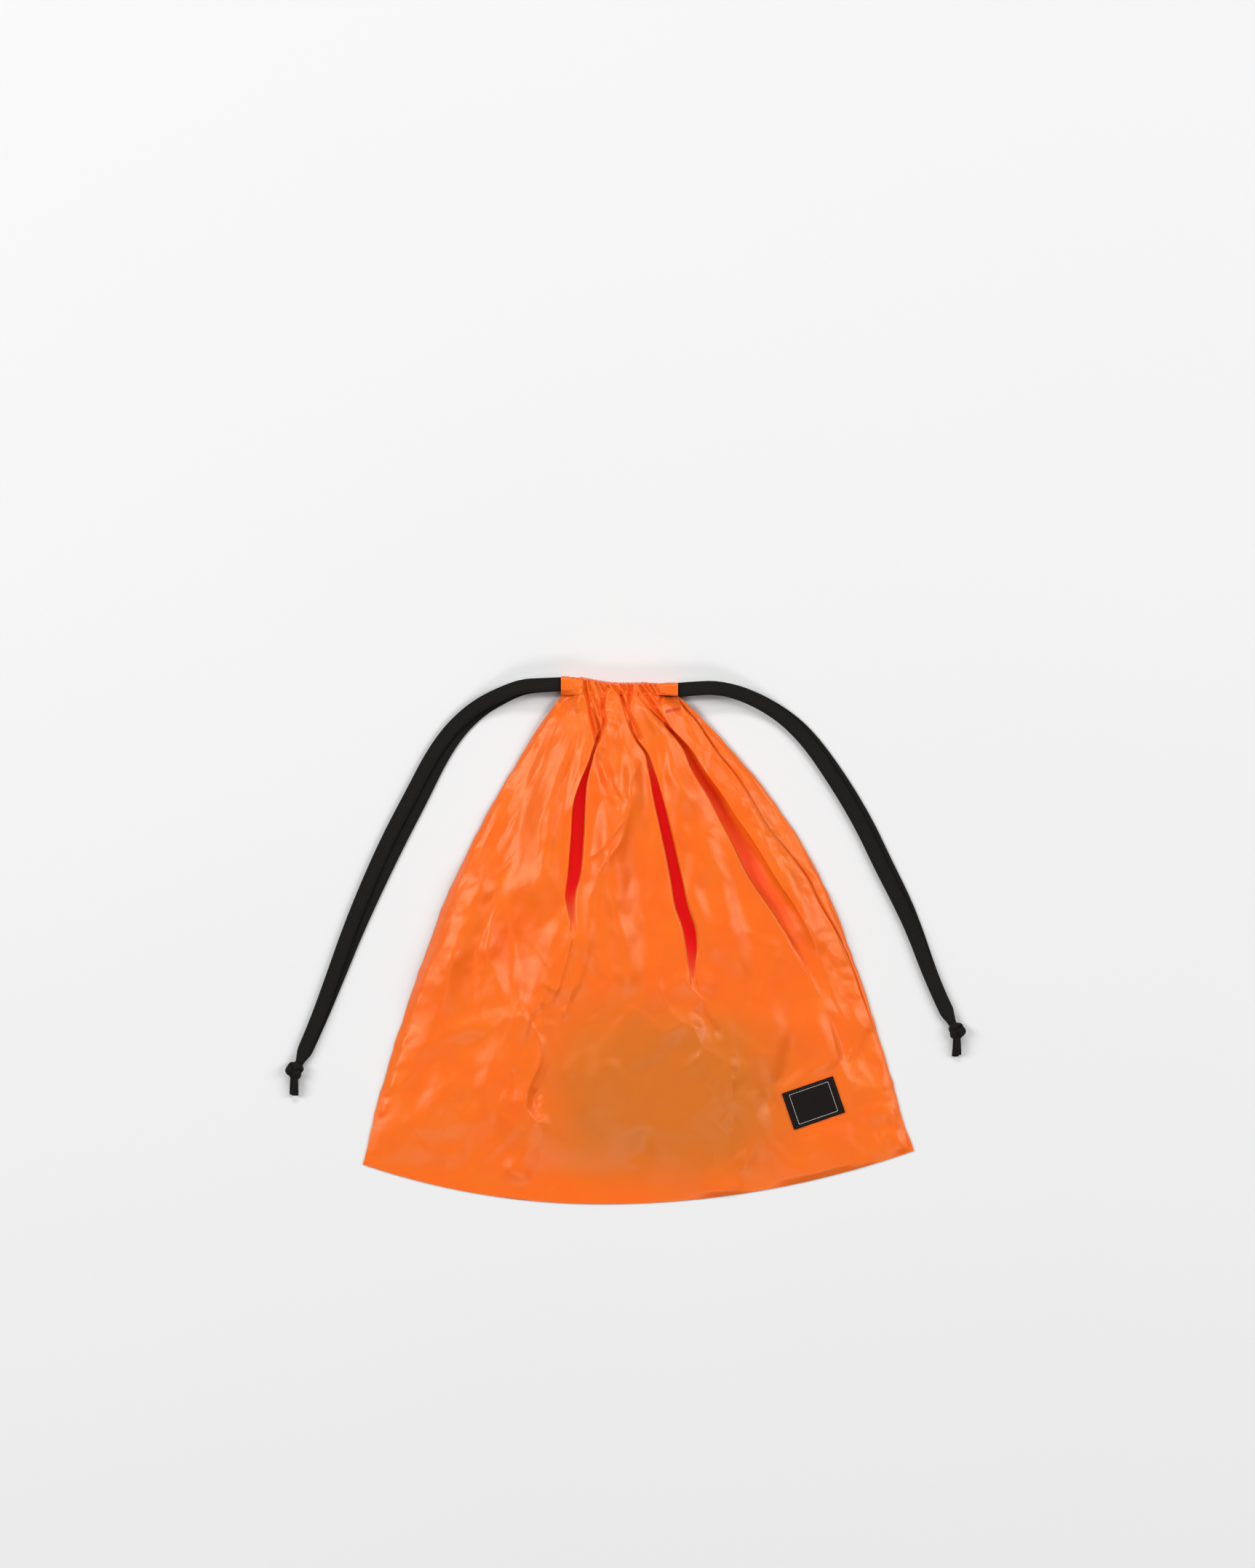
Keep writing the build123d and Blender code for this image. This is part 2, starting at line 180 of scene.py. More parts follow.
# ---------------------------------------------------------------- materials
def new_material(name, color, roughness, specular):
    """A new material, with its node tree and its main shader."""
    material = bpy.data.materials.new(name)
    material.use_nodes = True
    shader = material.node_tree.nodes["Principled BSDF"]
    shader.inputs["Base Color"].default_value = (*color, 1)
    shader.inputs["Roughness"].default_value = roughness
    shader.inputs["Specular IOR Level"].default_value = specular
    return material, material.node_tree, shader


def add_node(tree, kind, **settings):
    """A shader node, with its sockets or properties set by name."""
    node = tree.nodes.new("ShaderNode" + kind)
    for key, value in settings.items():
        if key in node.inputs:
            node.inputs[key].default_value = value
        else:
            setattr(node, key, value)
    return node


def feed(tree, socket, value):
    """Link another node's output to the socket, or set it to a number or a colour."""
    if hasattr(value, "is_output"):
        tree.links.new(value, socket)
    else:
        socket.default_value = (*value, 1) if isinstance(value, tuple) else value


def mix_color(tree, factor, first, second):
    node = add_node(tree, "Mix", data_type="RGBA")
    for place, value in ((0, factor), (6, first), (7, second)):
        feed(tree, node.inputs[place], value)
    return node.outputs[2]


def math_node(tree, operation, first, second, third=0.0):
    node = add_node(tree, "Math", operation=operation)
    for socket, value in zip(node.inputs, (first, second, third)):
        feed(tree, socket, value)
    return node.outputs[0]


def texture(tree, kind, **settings):
    """The value of a procedural texture in the object's own coordinates."""
    node = add_node(tree, kind, **settings)
    tree.links.new(add_node(tree, "TexCoord").outputs["Object"], node.inputs["Vector"])
    return node.outputs["Fac"]


def bump(tree, shader, height, distance, strength):
    node = add_node(tree, "Bump")
    node.inputs["Distance"].default_value = distance
    node.inputs["Strength"].default_value = strength
    tree.links.new(height, node.inputs["Height"])
    tree.links.new(node.outputs["Normal"], shader.inputs["Normal"])


ORANGE = (0.76, 0.132, 0.008)
DEEP_ORANGE = (0.82, 0.07, 0.006)
# painted shade: the red painted deep in folds and gather valleys, also the colour of their painted glow
PAINTED_FOLD_RED = (0.86, 0.006, 0.010)
BROWN_ORANGE = (0.56, 0.130, 0.012)
cloth_roughness = 0.31
fold_roughening = 0.5  # roughness added deep in a fold
painted_fold_glow = 0.07  # painted glow: red light that deep folds give off, in place of light that comes through the thin cloth into a deep fold
BRAID_BLACK, BRAID_RIB_TOP = (0.004, 0.0035, 0.003), (0.030, 0.028, 0.021)
braid_pitch = 0.0009  # length of one pick of the braid


def cloth_material():
    """Shiny plain-woven nylon: redder deep in its folds from painted shade and a painted glow, browner in a
    soft patch low in the middle.
    """
    material, tree, shader = new_material("orange_nylon", ORANGE, cloth_roughness, 0.40)
    shader.inputs["Specular Tint"].default_value = (1.0, 0.82, 0.58, 1)
    mottle = texture(tree, "TexNoise", Scale=28.0, Detail=4.0, Roughness=0.6)
    shade = add_node(tree, "MapRange")
    for socket, value in zip(shade.inputs[1:5], (0.3, 0.7, 0.0, 0.35)):
        socket.default_value = value
    tree.links.new(mottle, shade.inputs[0])
    color = mix_color(tree, shade.outputs[0], ORANGE, DEEP_ORANGE)
    # browner in a soft-edged patch low in the middle of the front cloth
    brown = add_node(tree, "Attribute", attribute_name="show_through").outputs["Fac"]
    color = mix_color(tree, brown, color, BROWN_ORANGE)
    # painted shade reddens the colour deep in the folds, and a painted glow makes them give off red light
    depth = add_node(tree, "Attribute", attribute_name="painted_fold_shade").outputs["Fac"]
    color = mix_color(tree, depth, color, PAINTED_FOLD_RED)
    tree.links.new(color, shader.inputs["Base Color"])
    shader.inputs["Emission Color"].default_value = (*PAINTED_FOLD_RED, 1)
    tree.links.new(math_node(tree, "MULTIPLY", depth, painted_fold_glow), shader.inputs["Emission Strength"])
    roughness = math_node(tree, "MULTIPLY_ADD", depth, fold_roughening, cloth_roughness)
    tree.links.new(roughness, shader.inputs["Roughness"])
    threads = [
        texture(tree, "TexWave", wave_type="BANDS", bands_direction=direction, Scale=640.0)
        for direction in ("X", "Y")
    ]
    weave = math_node(tree, "MULTIPLY", *threads)
    grain = texture(tree, "TexNoise", Scale=1500.0, Detail=1.0)
    bump(tree, shader, math_node(tree, "ADD", weave, grain), 0.00005, 0.6)
    return material


def braid_material():
    """Black flat braid: ribs that are paler on the tops of their bumps, placed by how far along and how far
    round the strand they are.
    """
    material, tree, shader = new_material("black_braid", BRAID_BLACK, 0.7, 0.12)
    along = add_node(tree, "Attribute", attribute_name="along").outputs["Fac"]
    around = add_node(tree, "Attribute", attribute_name="around").outputs["Fac"]
    pitch = math_node(tree, "MULTIPLY", along, 2 * math.pi / braid_pitch)
    shift = math_node(tree, "MULTIPLY", around, 2 * math.pi * cord_ribs)
    picks = math_node(tree, "SINE", math_node(tree, "ADD", pitch, shift), 0)
    dots = math_node(tree, "SINE", math_node(tree, "MULTIPLY", shift, 4.0), 0)
    height = math_node(tree, "MULTIPLY", picks, dots)
    # paler colour on the highest points of the bumps
    light = math_node(tree, "GREATER_THAN", height, 0.72)
    color = mix_color(tree, light, BRAID_BLACK, BRAID_RIB_TOP)
    tree.links.new(color, shader.inputs["Base Color"])
    bump(tree, shader, height, 0.00012, 0.8)
    return material


def label_material():
    """Black woven tape with fine slanting threads."""
    material, tree, shader = new_material("woven_label", (0.006, 0.005, 0.005), 0.8, 0.1)
    wave = texture(tree, "TexWave", wave_type="BANDS", bands_direction="DIAGONAL", Scale=420.0)
    color = mix_color(tree, wave, (0.004, 0.003, 0.003), (0.012, 0.009, 0.008))
    tree.links.new(color, shader.inputs["Base Color"])
    bump(tree, shader, wave, 0.00008, 0.7)
    return material


def thread_material(name, color):
    """Twisted sewing thread of one colour."""
    material, tree, shader = new_material(name, color, 0.5, 0.4)
    bump(tree, shader, texture(tree, "TexNoise", Scale=2200.0, Detail=2.0), 0.00006, 0.6)
    return material


def floor_material():
    """A plain pale floor, very slightly uneven in tone."""
    material, tree, shader = new_material("pale_floor", (0.66, 0.66, 0.66), 0.9, 0.1)
    noise = texture(tree, "TexNoise", Scale=3.0, Detail=1.0)
    color = mix_color(tree, noise, (0.66, 0.66, 0.66), (0.67, 0.67, 0.67))
    tree.links.new(color, shader.inputs["Base Color"])
    return material


cloth = cloth_material()
braid = braid_material()
woven = label_material()
orange_thread = thread_material("orange_thread", (0.85, 0.16, 0.03))
red_thread = thread_material("red_thread", (0.6, 0.01, 0.008))
black_thread = thread_material("black_thread", (0.008, 0.007, 0.007))
white_thread = thread_material("off_white_thread", (0.62, 0.6, 0.52))

# ---------------------------------------------------------------- camera
view_height = 1.078  # height of the picture's frame at the floor
view_centre = (-0.0075, 0.10775)
camera_data = bpy.data.cameras.new("camera")
camera_data.lens = 100
camera_data.sensor_width = 36
camera_distance = view_height * camera_data.lens / camera_data.sensor_width
camera = bpy.data.objects.new("camera", camera_data)
camera.location = (*view_centre, camera_distance)
bpy.context.scene.collection.objects.link(camera)
bpy.context.scene.camera = camera

# ---------------------------------------------------------------- drawcords
# The route points of the CAD model, as (x, y) from each exit.
ROUTES = {
    "left_front": [
        (0, 0), (-0.013, 0), (-0.027, 0), (-0.0415, -0.0054), (-0.056, -0.0126), (-0.0685, -0.0223),
        (-0.0792, -0.0338), (-0.0898, -0.0493), (-0.1022, -0.0733), (-0.1173, -0.1017), (-0.131, -0.1315),
        (-0.1453, -0.1664), (-0.1584, -0.2039), (-0.1696, -0.2346), (-0.18, -0.2585),
    ],
    "left_back": [
        (0, 0), (-0.013, 0), (-0.027, -0.001), (-0.0405, -0.0074), (-0.054, -0.0152), (-0.0655, -0.0255),
        (-0.0748, -0.037), (-0.0842, -0.0525), (-0.0958, -0.0765), (-0.1107, -0.1051), (-0.125, -0.1343),
        (-0.1407, -0.1684), (-0.1556, -0.2049), (-0.1684, -0.2352), (-0.1793, -0.2584),
    ],
    "right_front": [
        (0, 0), (0.013, 0), (0.027, -0.001), (0.042, -0.0047), (0.0568, -0.0113), (0.0706, -0.02),
        (0.0821, -0.0303), (0.0928, -0.0428), (0.1035, -0.0584), (0.1153, -0.0769), (0.1277, -0.0988),
        (0.1392, -0.1233), (0.1519, -0.1477), (0.162, -0.1693), (0.1715, -0.1946), (0.1808, -0.216),
        (0.1883, -0.2316),
    ],
    "right_back": [
        (0, 0), (0.013, 0), (0.027, -0.001), (0.042, -0.0041), (0.0572, -0.0105), (0.0714, -0.0188),
        (0.0839, -0.0285), (0.0952, -0.041), (0.1065, -0.0564), (0.1187, -0.0749), (0.1313, -0.097),
        (0.1428, -0.1215), (0.1551, -0.1461), (0.164, -0.1685), (0.1725, -0.1942), (0.1812, -0.2158),
        (0.1887, -0.2309),
    ],
}
# Heights of the route points above the floor; the last one holds for all points after it.
front_leg_z, back_leg_z = 0.0145, 0.0033
ROUTE_HEIGHTS = {
    "front": (front_leg_z, front_leg_z, 0.0125, 0.009, 0.006, 0.0043, 0.0037),
    "back": (back_leg_z, back_leg_z, 0.0026, 0.0016, 0.0012),
}
# The left sleeve end sits a little above the casing's middle line, the right one a little below.
EXIT_LIFT = {"left": 0.0012, "right": -0.0026}


def exit_y(side, distance):
    """The middle of a cord near its sleeve end, a distance away from it."""
    return casing_mid_y + EXIT_LIFT[side] * (1 - smoothstep(0.0, 0.030, abs(distance)))


def points_of_route(side, layer):
    """Points of the smooth NURBS line that has the route's points as its control points."""
    route, heights = ROUTES[f"{side}_{layer}"], ROUTE_HEIGHTS[layer]
    curve = bpy.data.curves.new("route", "CURVE")
    curve.dimensions = "3D"
    spline = curve.splines.new("NURBS")
    spline.points.add(len(route) - 1)
    for i, (x, y) in enumerate(route):
        z = heights[min(i, len(heights) - 1)]
        spline.points[i].co = (EXIT_X[side] + x, exit_y(side, x) + y, z, 1)
    spline.order_u = 3
    spline.use_endpoint_u = True
    spline.resolution_u = 24
    holder = bpy.data.objects.new("route", curve)
    mesh = bpy.data.meshes.new_from_object(holder)
    points = np.array([tuple(v.co) for v in mesh.vertices])
    bpy.data.meshes.remove(mesh)
    bpy.data.objects.remove(holder)
    bpy.data.curves.remove(curve)
    return points


def sweep_strand(name, points, section, ups=None, scale=None):
    """A closed strand with the given (side, up) section along the points.

    ups turns the section's up side at each point, and scale gives its width and thickness there.
    """
    points = np.asarray(points, float)
    count, around = len(points), len(section)
    heading = np.gradient(points, axis=0)
    heading /= np.linalg.norm(heading, axis=1)[:, None]
    up = np.tile((0.0, 0.0, 1.0), (count, 1)) if ups is None else np.asarray(ups, float)
    side = np.cross(heading, up)
    side /= np.linalg.norm(side, axis=1)[:, None]
    up = np.cross(side, heading)
    scale = np.ones((count, 2)) if scale is None else np.asarray(scale, float)
    across = section[None, :, 0, None] * scale[:, None, 0, None] * side[:, None, :]
    high = section[None, :, 1, None] * scale[:, None, 1, None] * up[:, None, :]
    vertices = (points[:, None, :] + across + high).reshape(-1, 3)
    ring_starts, steps = np.arange(count - 1)[:, None] * around, np.arange(around)[None, :]
    first, following = (ring_starts + steps).ravel(), (ring_starts + (steps + 1) % around).ravel()
    faces = np.stack([first, first + around, following + around, following], 1).tolist()
    faces.append(list(range(around)))
    faces.append(list(range((count - 1) * around, count * around))[::-1])
    obj = new_object(name, vertices, faces, braid)
    set_attribute(obj, "along", np.repeat(distance_along(points), around))
    set_attribute(obj, "around", np.tile(np.linspace(0, 1, around, endpoint=False), count))
    return obj


def braid_section(width, thickness, ribs=cord_ribs, steps=72, relief=0.00034):
    """A flat tube's outline with rounded edges and lengthwise ribs."""
    angle = np.linspace(0, 2 * math.pi, steps, endpoint=False)
    x = np.sign(np.cos(angle)) * np.abs(np.cos(angle)) ** 0.62 * width / 2
    z = np.sign(np.sin(angle)) * np.abs(np.sin(angle)) ** 0.8 * thickness / 2
    groove = np.abs(np.sin(math.pi * ribs * (x / width + 0.5))) ** 0.5 - 1
    return np.stack([x, z + np.sign(z) * relief * groove], 1)


strand_section = braid_section(cord_width, cord_thickness)
into_knot = 0.004  # how far a strand runs on into its knot
knot_length, knot_height = 0.013, 0.008


def loose_strand(side, layer):
    """A strand from its sleeve to its knot, and the points that it follows."""
    points = points_of_route(side, layer)
    heading = (points[-1] - points[-2]) / np.linalg.norm(points[-1] - points[-2])
    points = np.vstack([points, points[-1] + heading * into_knot / 2, points[-1] + heading * into_knot])
    # the last few millimetres draw together and rise or sink to the middle of the knot
    travel = distance_along(points)
    drawn = smoothstep(0.014, 0.002, travel[-1] - travel)
    points[:, 2] += drawn * 0.5 * (knot_height / 2 - points[:, 2])
    scale = np.stack([1 - 0.50 * drawn, 1 + 0.25 * drawn], 1)
    return sweep_strand(f"{side}_{layer}_strand_braid", points, strand_section, scale=scale), points


strands = {name: loose_strand(*name.split("_")) for name in ROUTES}

# ---------------------------------------------------------------- knots and tails
bunched_section = braid_section(0.0064, 0.0032, ribs=4, steps=40, relief=0.00024)
tail_section = braid_section(0.0047, 0.0023, ribs=4, steps=40, relief=0.00015)


def knot_frame(side):
    """Origin, along and aside directions where a cord meets its knot."""
    (x1, y1), (x2, y2) = ROUTES[f"{side}_front"][-2:]
    along = np.array([x2 - x1, y2 - y1, 0]) / math.hypot(x2 - x1, y2 - y1)
    aside = np.array([-along[1], along[0], 0])
    return np.array([EXIT_X[side] + x2, casing_mid_y + y2, 0]), along, aside


def overhand_knot(side, turn):
    """The cord's overhand knot, drawn tight: one trefoil turn of the bunched braid."""
    origin, along, aside = knot_frame(side)
    bulge = np.sign(aside[0]) * (-1 if side == "left" else 1)  # outwards, away from the sack
    t = np.linspace(0.05, 2 * math.pi - 0.05, 150) + turn
    a = (np.sin(t) + 2 * np.sin(2 * t)) * 0.00152
    b = (np.cos(t) - 2 * np.cos(2 * t)) * 0.00130 + bulge * 0.0011 * np.cos(a / 0.0046 * math.pi / 2)
    z = -np.sin(3 * t) * 0.0018 + knot_height / 2 + 0.0006
    middle = origin + along * (knot_length / 2 - 0.0008)
    points = middle + a[:, None] * along + b[:, None] * aside + np.array([0, 0, 1]) * z[:, None]
    outward = points - middle - np.array([0, 0, knot_height / 2])
    outward[:, 2] *= 2.5
    return sweep_strand(f"{side}_overhand_knot", points, bunched_section, ups=outward)


def cord_tail(side, layer, aside_start, aside_end, length, low_z, high_z):
    """One cut cord end that comes out of the knot and lies straight down from it."""
    origin, along, aside = knot_frame(side)
    s = np.linspace(0, 1, 24)[:, None]
    start = origin + along * knot_length * 0.6 + aside * aside_start
    downwards = np.array([0.05 if side == "left" else -0.08, -1, 0])
    end = origin + along * knot_length * 0.8 + downwards * (length + knot_length * 0.2)
    end[0] += abs(aside[1]) * aside_end
    points = start + (end - start) * s
    points[:, 2] = (low_z + (high_z - low_z) * s + 0.0016 * np.sin(math.pi * s))[:, 0]
    scale = np.hstack([0.75 + 0.3 * s, np.ones_like(s)])
    return sweep_strand(f"{side}_{layer}_cut_tail", points, tail_section, scale=scale)


def casing_loop(side):
    """The hidden part of a cord: bunched along the casing, round the far end and back."""
    sign = -1 if side == "left" else 1
    exit_x = EXIT_X[side]
    bight_x = EXIT_X["right" if side == "left" else "left"] + sign * 0.0129
    lane_y = casing_mid_y - sign * 0.0020 - 0.0030
    legs_mid_z, radius = (front_leg_z + back_leg_z) / 2, (front_leg_z - back_leg_z) / 2
    leg = np.linspace(exit_x, bight_x, 40)
    turn = np.linspace(math.pi / 2, -math.pi / 2, 24)[1:-1]
    x = np.concatenate([leg, bight_x - sign * radius * np.cos(turn), leg[::-1]])
    z = np.concatenate([0 * leg + front_leg_z, legs_mid_z + radius * np.sin(turn), 0 * leg + back_leg_z])
    # the first centimetre is as wide as the strand, because it shows when the cord is pulled
    from_exit = np.abs(x - exit_x)
    bunched = smoothstep(0.009, 0.017, from_exit)
    z = collar_mid_z + (z - collar_mid_z) * (1 - 0.50 * smoothstep(0.008, 0.016, from_exit))
    y = exit_y(side, 0) + (lane_y - exit_y(side, 0)) * bunched
    outward = np.zeros((len(x), 3))
    outward[:, 2] = z - legs_mid_z
    outward[:, 0] = np.where(from_exit > np.abs(bight_x - exit_x), x - bight_x, 0)
    scale = np.stack([1 - 0.58 * bunched, 1 + 0.3 * bunched], 1)
    places = np.stack([x, y, z], 1)
    loop = sweep_strand(f"{side}_casing_loop_braid", places, strand_section, ups=outward, scale=scale)
    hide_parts(f"{side}_cord_casing_loop")
    return loop


knots = {"left": overhand_knot("left", 0.4), "right": overhand_knot("right", 2.2)}
tails = {
    "left": [
        cord_tail("left", "front", 0.0012, 0.0019, 0.0100, 0.0052, 0.0037),
        cord_tail("left", "back", -0.0010, -0.0017, 0.0095, 0.0022, 0.0013),
    ],
    "right": [
        cord_tail("right", "front", 0.0004, 0.0008, 0.0092, 0.0052, 0.0037),
        cord_tail("right", "back", -0.0008, -0.0024, 0.0104, 0.0022, 0.0013),
    ],
}
for side in ("left", "right"):
    body = f"{side}_drawcord"
    for piece, node in ((knots[side], "knot"), (tails[side][0], "front_tail"), (tails[side][1], "back_tail")):
        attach(piece, body)
        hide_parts(f"{side}_{node}")
    for layer, leg_z in (("front", front_leg_z), ("back", back_leg_z)):
        strand, points = strands[f"{side}_{layer}"]
        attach(strand, body)
        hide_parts(f"{side}_{layer}_strand")
    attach(casing_loop(side), body)


# ---------------------------------------------------------------- the cloth's plan
def side_curve(t, end_x, corner_end, corner_y, bow, lean, sign):
    """A side edge: places from the casing (t = 0) to the bottom corner (t = 1)."""
    x = end_x + (corner_end - end_x) * t + sign * 4 * bow * t * (1 - t) * (1 + lean * (0.5 - t))
    return x, panel_top + (corner_y - panel_top) * t


def bottom_y(x):
    """The bottom edge: two arcs that meet level at the lowest point."""
    reach = np.where(x < lowest_x, corner_x + lowest_x, corner_x - lowest_x)
    rise = np.where(x < lowest_x, left_corner_y, right_corner_y) - lowest_y
    radius = (reach**2 + rise**2) / (2 * rise)
    return lowest_y + radius - np.sqrt(radius**2 - (x - lowest_x) ** 2)


rows_t = np.linspace(0, 1, panel_rows)
edge_travel = rows_t * 0.322  # how far down a side edge each row is
pucker = value_noise(edge_travel, 0 * rows_t, 0.007, 11) * 0.0004
pucker += value_noise(edge_travel, 0 * rows_t, 0.025, 12) * 0.0008
pucker *= smoothstep(0, 0.05, rows_t) * smoothstep(1, 0.97, rows_t)
left_x, left_y = side_curve(rows_t, collar_left, -corner_x, left_corner_y, left_bow, left_bow_lean, -1)
right_x, right_y = side_curve(rows_t, collar_right, corner_x, right_corner_y, right_bow, right_bow_lean, 1)
left_x = left_x + pucker
right_x = right_x + pucker[::-1]


def plan_place(a):
    """x and y on every row at the share a of the way across, an array of rows by columns."""
    t = rows_t[:, None]
    x = left_x[:, None] + (right_x - left_x)[:, None] * a
    y = left_y[:, None] + (right_y - left_y)[:, None] * a
    level = left_corner_y + (right_corner_y - left_corner_y) * a
    return x, y + t**2 * (bottom_y(-corner_x + 2 * corner_x * a) - level)


def share_of_guide(guide):
    """The share across at which each row meets a guide line, given as x by y."""
    a = np.full((panel_rows, 1), 0.5)
    for _ in range(8):
        _, y = plan_place(a)
        a = (guide(y) - left_x[:, None]) / (right_x - left_x)[:, None]
    return a


# Deep pleats, from the mouth down: middle line (y, x), half width (y, w) and depth (y, d).
# columns are the first and last of the front cloth that each one takes up, lips is 2 if both of
# its edges overhang it and 1 if only the left one does, and the last key is how red its inside is painted, as
# painted shade.
PLEATS = [
    dict(
        columns=(84, 108), lips=2, inside_painted_shade=1.0,
        middle=[
            (0.168, -0.034), (0.155, -0.0295), (0.1465, -0.0272), (0.127, -0.0316), (0.106, -0.0382),
            (0.098, -0.0398), (0.0712, -0.0418), (0.0444, -0.0442), (0.0321, -0.0465), (0.0101, -0.0447),
            (-0.03, -0.052), (-0.07, -0.066), (-0.12, -0.075), (-0.18, -0.085),
        ],
        half=[
            (0.168, 0.0012), (0.14, 0.0012), (0.127, 0.001), (0.11, 0.0022), (0.098, 0.0036),
            (0.0712, 0.0042), (0.0444, 0.004), (0.032, 0.0032), (0.018, 0.0022), (0.006, 0.002),
            (-0.03, 0.007), (-0.18, 0.013),
        ],
        depth=[
            (0.168, 0.001), (0.145, 0.003), (0.125, 0.005), (0.11, 0.009), (0.08, 0.012), (0.055, 0.011),
            (0.035, 0.007), (0.018, 0.003), (0.004, 0.0005), (-0.01, 0.0), (-0.02, 0.0),
        ],
    ),
    dict(
        columns=(140, 164), lips=2, inside_painted_shade=1.0,
        middle=[
            (0.168, -0.0118), (0.154, -0.0077), (0.1355, 0.0003), (0.13, 0.0045), (0.1181, 0.0085),
            (0.098, 0.0134), (0.0712, 0.0197), (0.0444, 0.0255), (0.0219, 0.0301), (0.0101, 0.0342),
            (-0.0046, 0.0363), (-0.0193, 0.0368), (-0.06, 0.045), (-0.12, 0.06), (-0.18, 0.065),
        ],
        half=[
            (0.168, 0.0012), (0.14, 0.0012), (0.13, 0.001), (0.118, 0.0018), (0.098, 0.003),
            (0.071, 0.0034), (0.044, 0.0037), (0.022, 0.0042), (0.0, 0.0038), (-0.0193, 0.0024),
            (-0.03, 0.0022), (-0.06, 0.007), (-0.18, 0.013),
        ],
        depth=[
            (0.168, 0.001), (0.15, 0.002), (0.13, 0.003), (0.11, 0.007), (0.07, 0.012), (0.02, 0.011),
            (-0.005, 0.007), (-0.02, 0.003), (-0.03, 0.0005), (-0.05, 0.0),
        ],
    ),
    dict(
        columns=(188, 212), lips=1, inside_painted_shade=0.45,
        middle=[
            (0.168, 0.0005), (0.157, 0.0093), (0.1475, 0.0192), (0.1328, 0.0325), (0.1181, 0.0405),
            (0.098, 0.0536), (0.0846, 0.0613), (0.0712, 0.0696), (0.0444, 0.0844), (0.0174, 0.1025),
            (-0.0119, 0.1178), (-0.0413, 0.131), (-0.08, 0.142), (-0.12, 0.15), (-0.18, 0.158),
        ],
        half=[
            (0.168, 0.0012), (0.1475, 0.0014), (0.1328, 0.0026), (0.118, 0.0042), (0.098, 0.0052),
            (0.0846, 0.006), (0.0712, 0.0072), (0.0444, 0.0088), (0.0174, 0.0085), (-0.0119, 0.007),
            (-0.0413, 0.005), (-0.08, 0.006), (-0.18, 0.011),
        ],
        depth=[
            (0.168, 0.001), (0.15, 0.003), (0.133, 0.007), (0.11, 0.01), (0.07, 0.009), (0.03, 0.006),
            (-0.005, 0.003), (-0.025, 0.001), (-0.045, 0.0), (-0.08, 0.0),
        ],
    ),
]
# Columns of the front cloth: its side seam, its right edge, and where its two sheets meet.
SEAM_COLUMN, LAST_COLUMN, SPLIT_COLUMN = 262, 300, 148
# The right side seam, rolled to the front, as (y, x).
SEAM = [
    (0.168, 0.0268), (0.1616, 0.0302), (0.1516, 0.0392), (0.1395, 0.0472), (0.1275, 0.0553),
    (0.1127, 0.0673), (0.098, 0.0767), (0.0779, 0.0888), (0.0645, 0.0995), (0.0511, 0.1102),
    (0.0467, 0.1135), (0.0247, 0.1248), (0.0072, 0.1351), (-0.0163, 0.146), (-0.0382, 0.1535),
    (-0.05, 0.158), (-0.1, 0.1745), (-0.145, 0.1868)
]

knots_at, shares = [0], [np.zeros((panel_rows, 1))]
for pleat in PLEATS:
    middle, half = curve_through(pleat["middle"]), curve_through(pleat["half"])
    for column, sign in zip(pleat["columns"], (-1, 1)):
        knots_at.append(column)
        shares.append(share_of_guide(lambda y: middle(y) + sign * half(y)))
seam_at = curve_through(SEAM)
knots_at.append(SEAM_COLUMN)
shares.append(np.minimum(share_of_guide(seam_at), 0.996))
knots_at.append(LAST_COLUMN)
shares.append(np.ones((panel_rows, 1)))
shares = np.maximum.accumulate(np.hstack(shares), axis=1)
across = np.stack([np.interp(np.arange(LAST_COLUMN + 1), knots_at, row) for row in shares])

# ---------------------------------------------------------------- the front cloth's height
crown_at = curve_through(crown)
edge_z = edge_height + (collar_mid_z - edge_height) * np.exp(-rows_t / 0.045)


def sleeve_share(x):
    """1 in the smooth sleeve ends of the casing, 0 in its gathered middle."""
    in_left = smoothstep(collar_left + 0.015, collar_left + 0.005, x)
    return np.maximum(in_left, smoothstep(collar_right - 0.017, collar_right - 0.008, x))


def front_base(a, y):
    """The front cloth's broad shape: low at its edges, crowned in the middle."""
    top = np.minimum(crown_at(y), 0.0162 + rows_t[:, None])
    bottom_fade = np.sqrt(np.clip(1 - rows_t[:, None] ** 12, 0, 1))
    profile = np.clip(4 * a * (1 - a), 0, 1) ** 0.5
    at_casing = 1 - np.maximum(smoothstep(0.2, 0.04, a), smoothstep(0.8, 0.96, a))
    near = smoothstep(0.05, 0.0, rows_t)[:, None]
    profile = profile * (1 - near) + at_casing * near
    return edge_z[:, None] + (top - edge_z[:, None]) * profile * bottom_fade


def back_ruffles(x, y, a):
    """Tight gathers across the back of the casing, the same on all its rows."""
    turns = 2 * math.pi * a
    wave = 2 * math.pi * (12.0 * a + 0.30 * np.sin(3.1 * turns + 1) + 0.16 * np.sin(7.3 * turns + 2))
    tall = 0.7 + 0.5 * np.sin(4.3 * turns + 2) * np.sin(1.7 * turns)
    return 0.0022 * ((np.abs(np.sin(wave)) ** 0.7 - 0.6) * tall)[None, :] + 0 * x


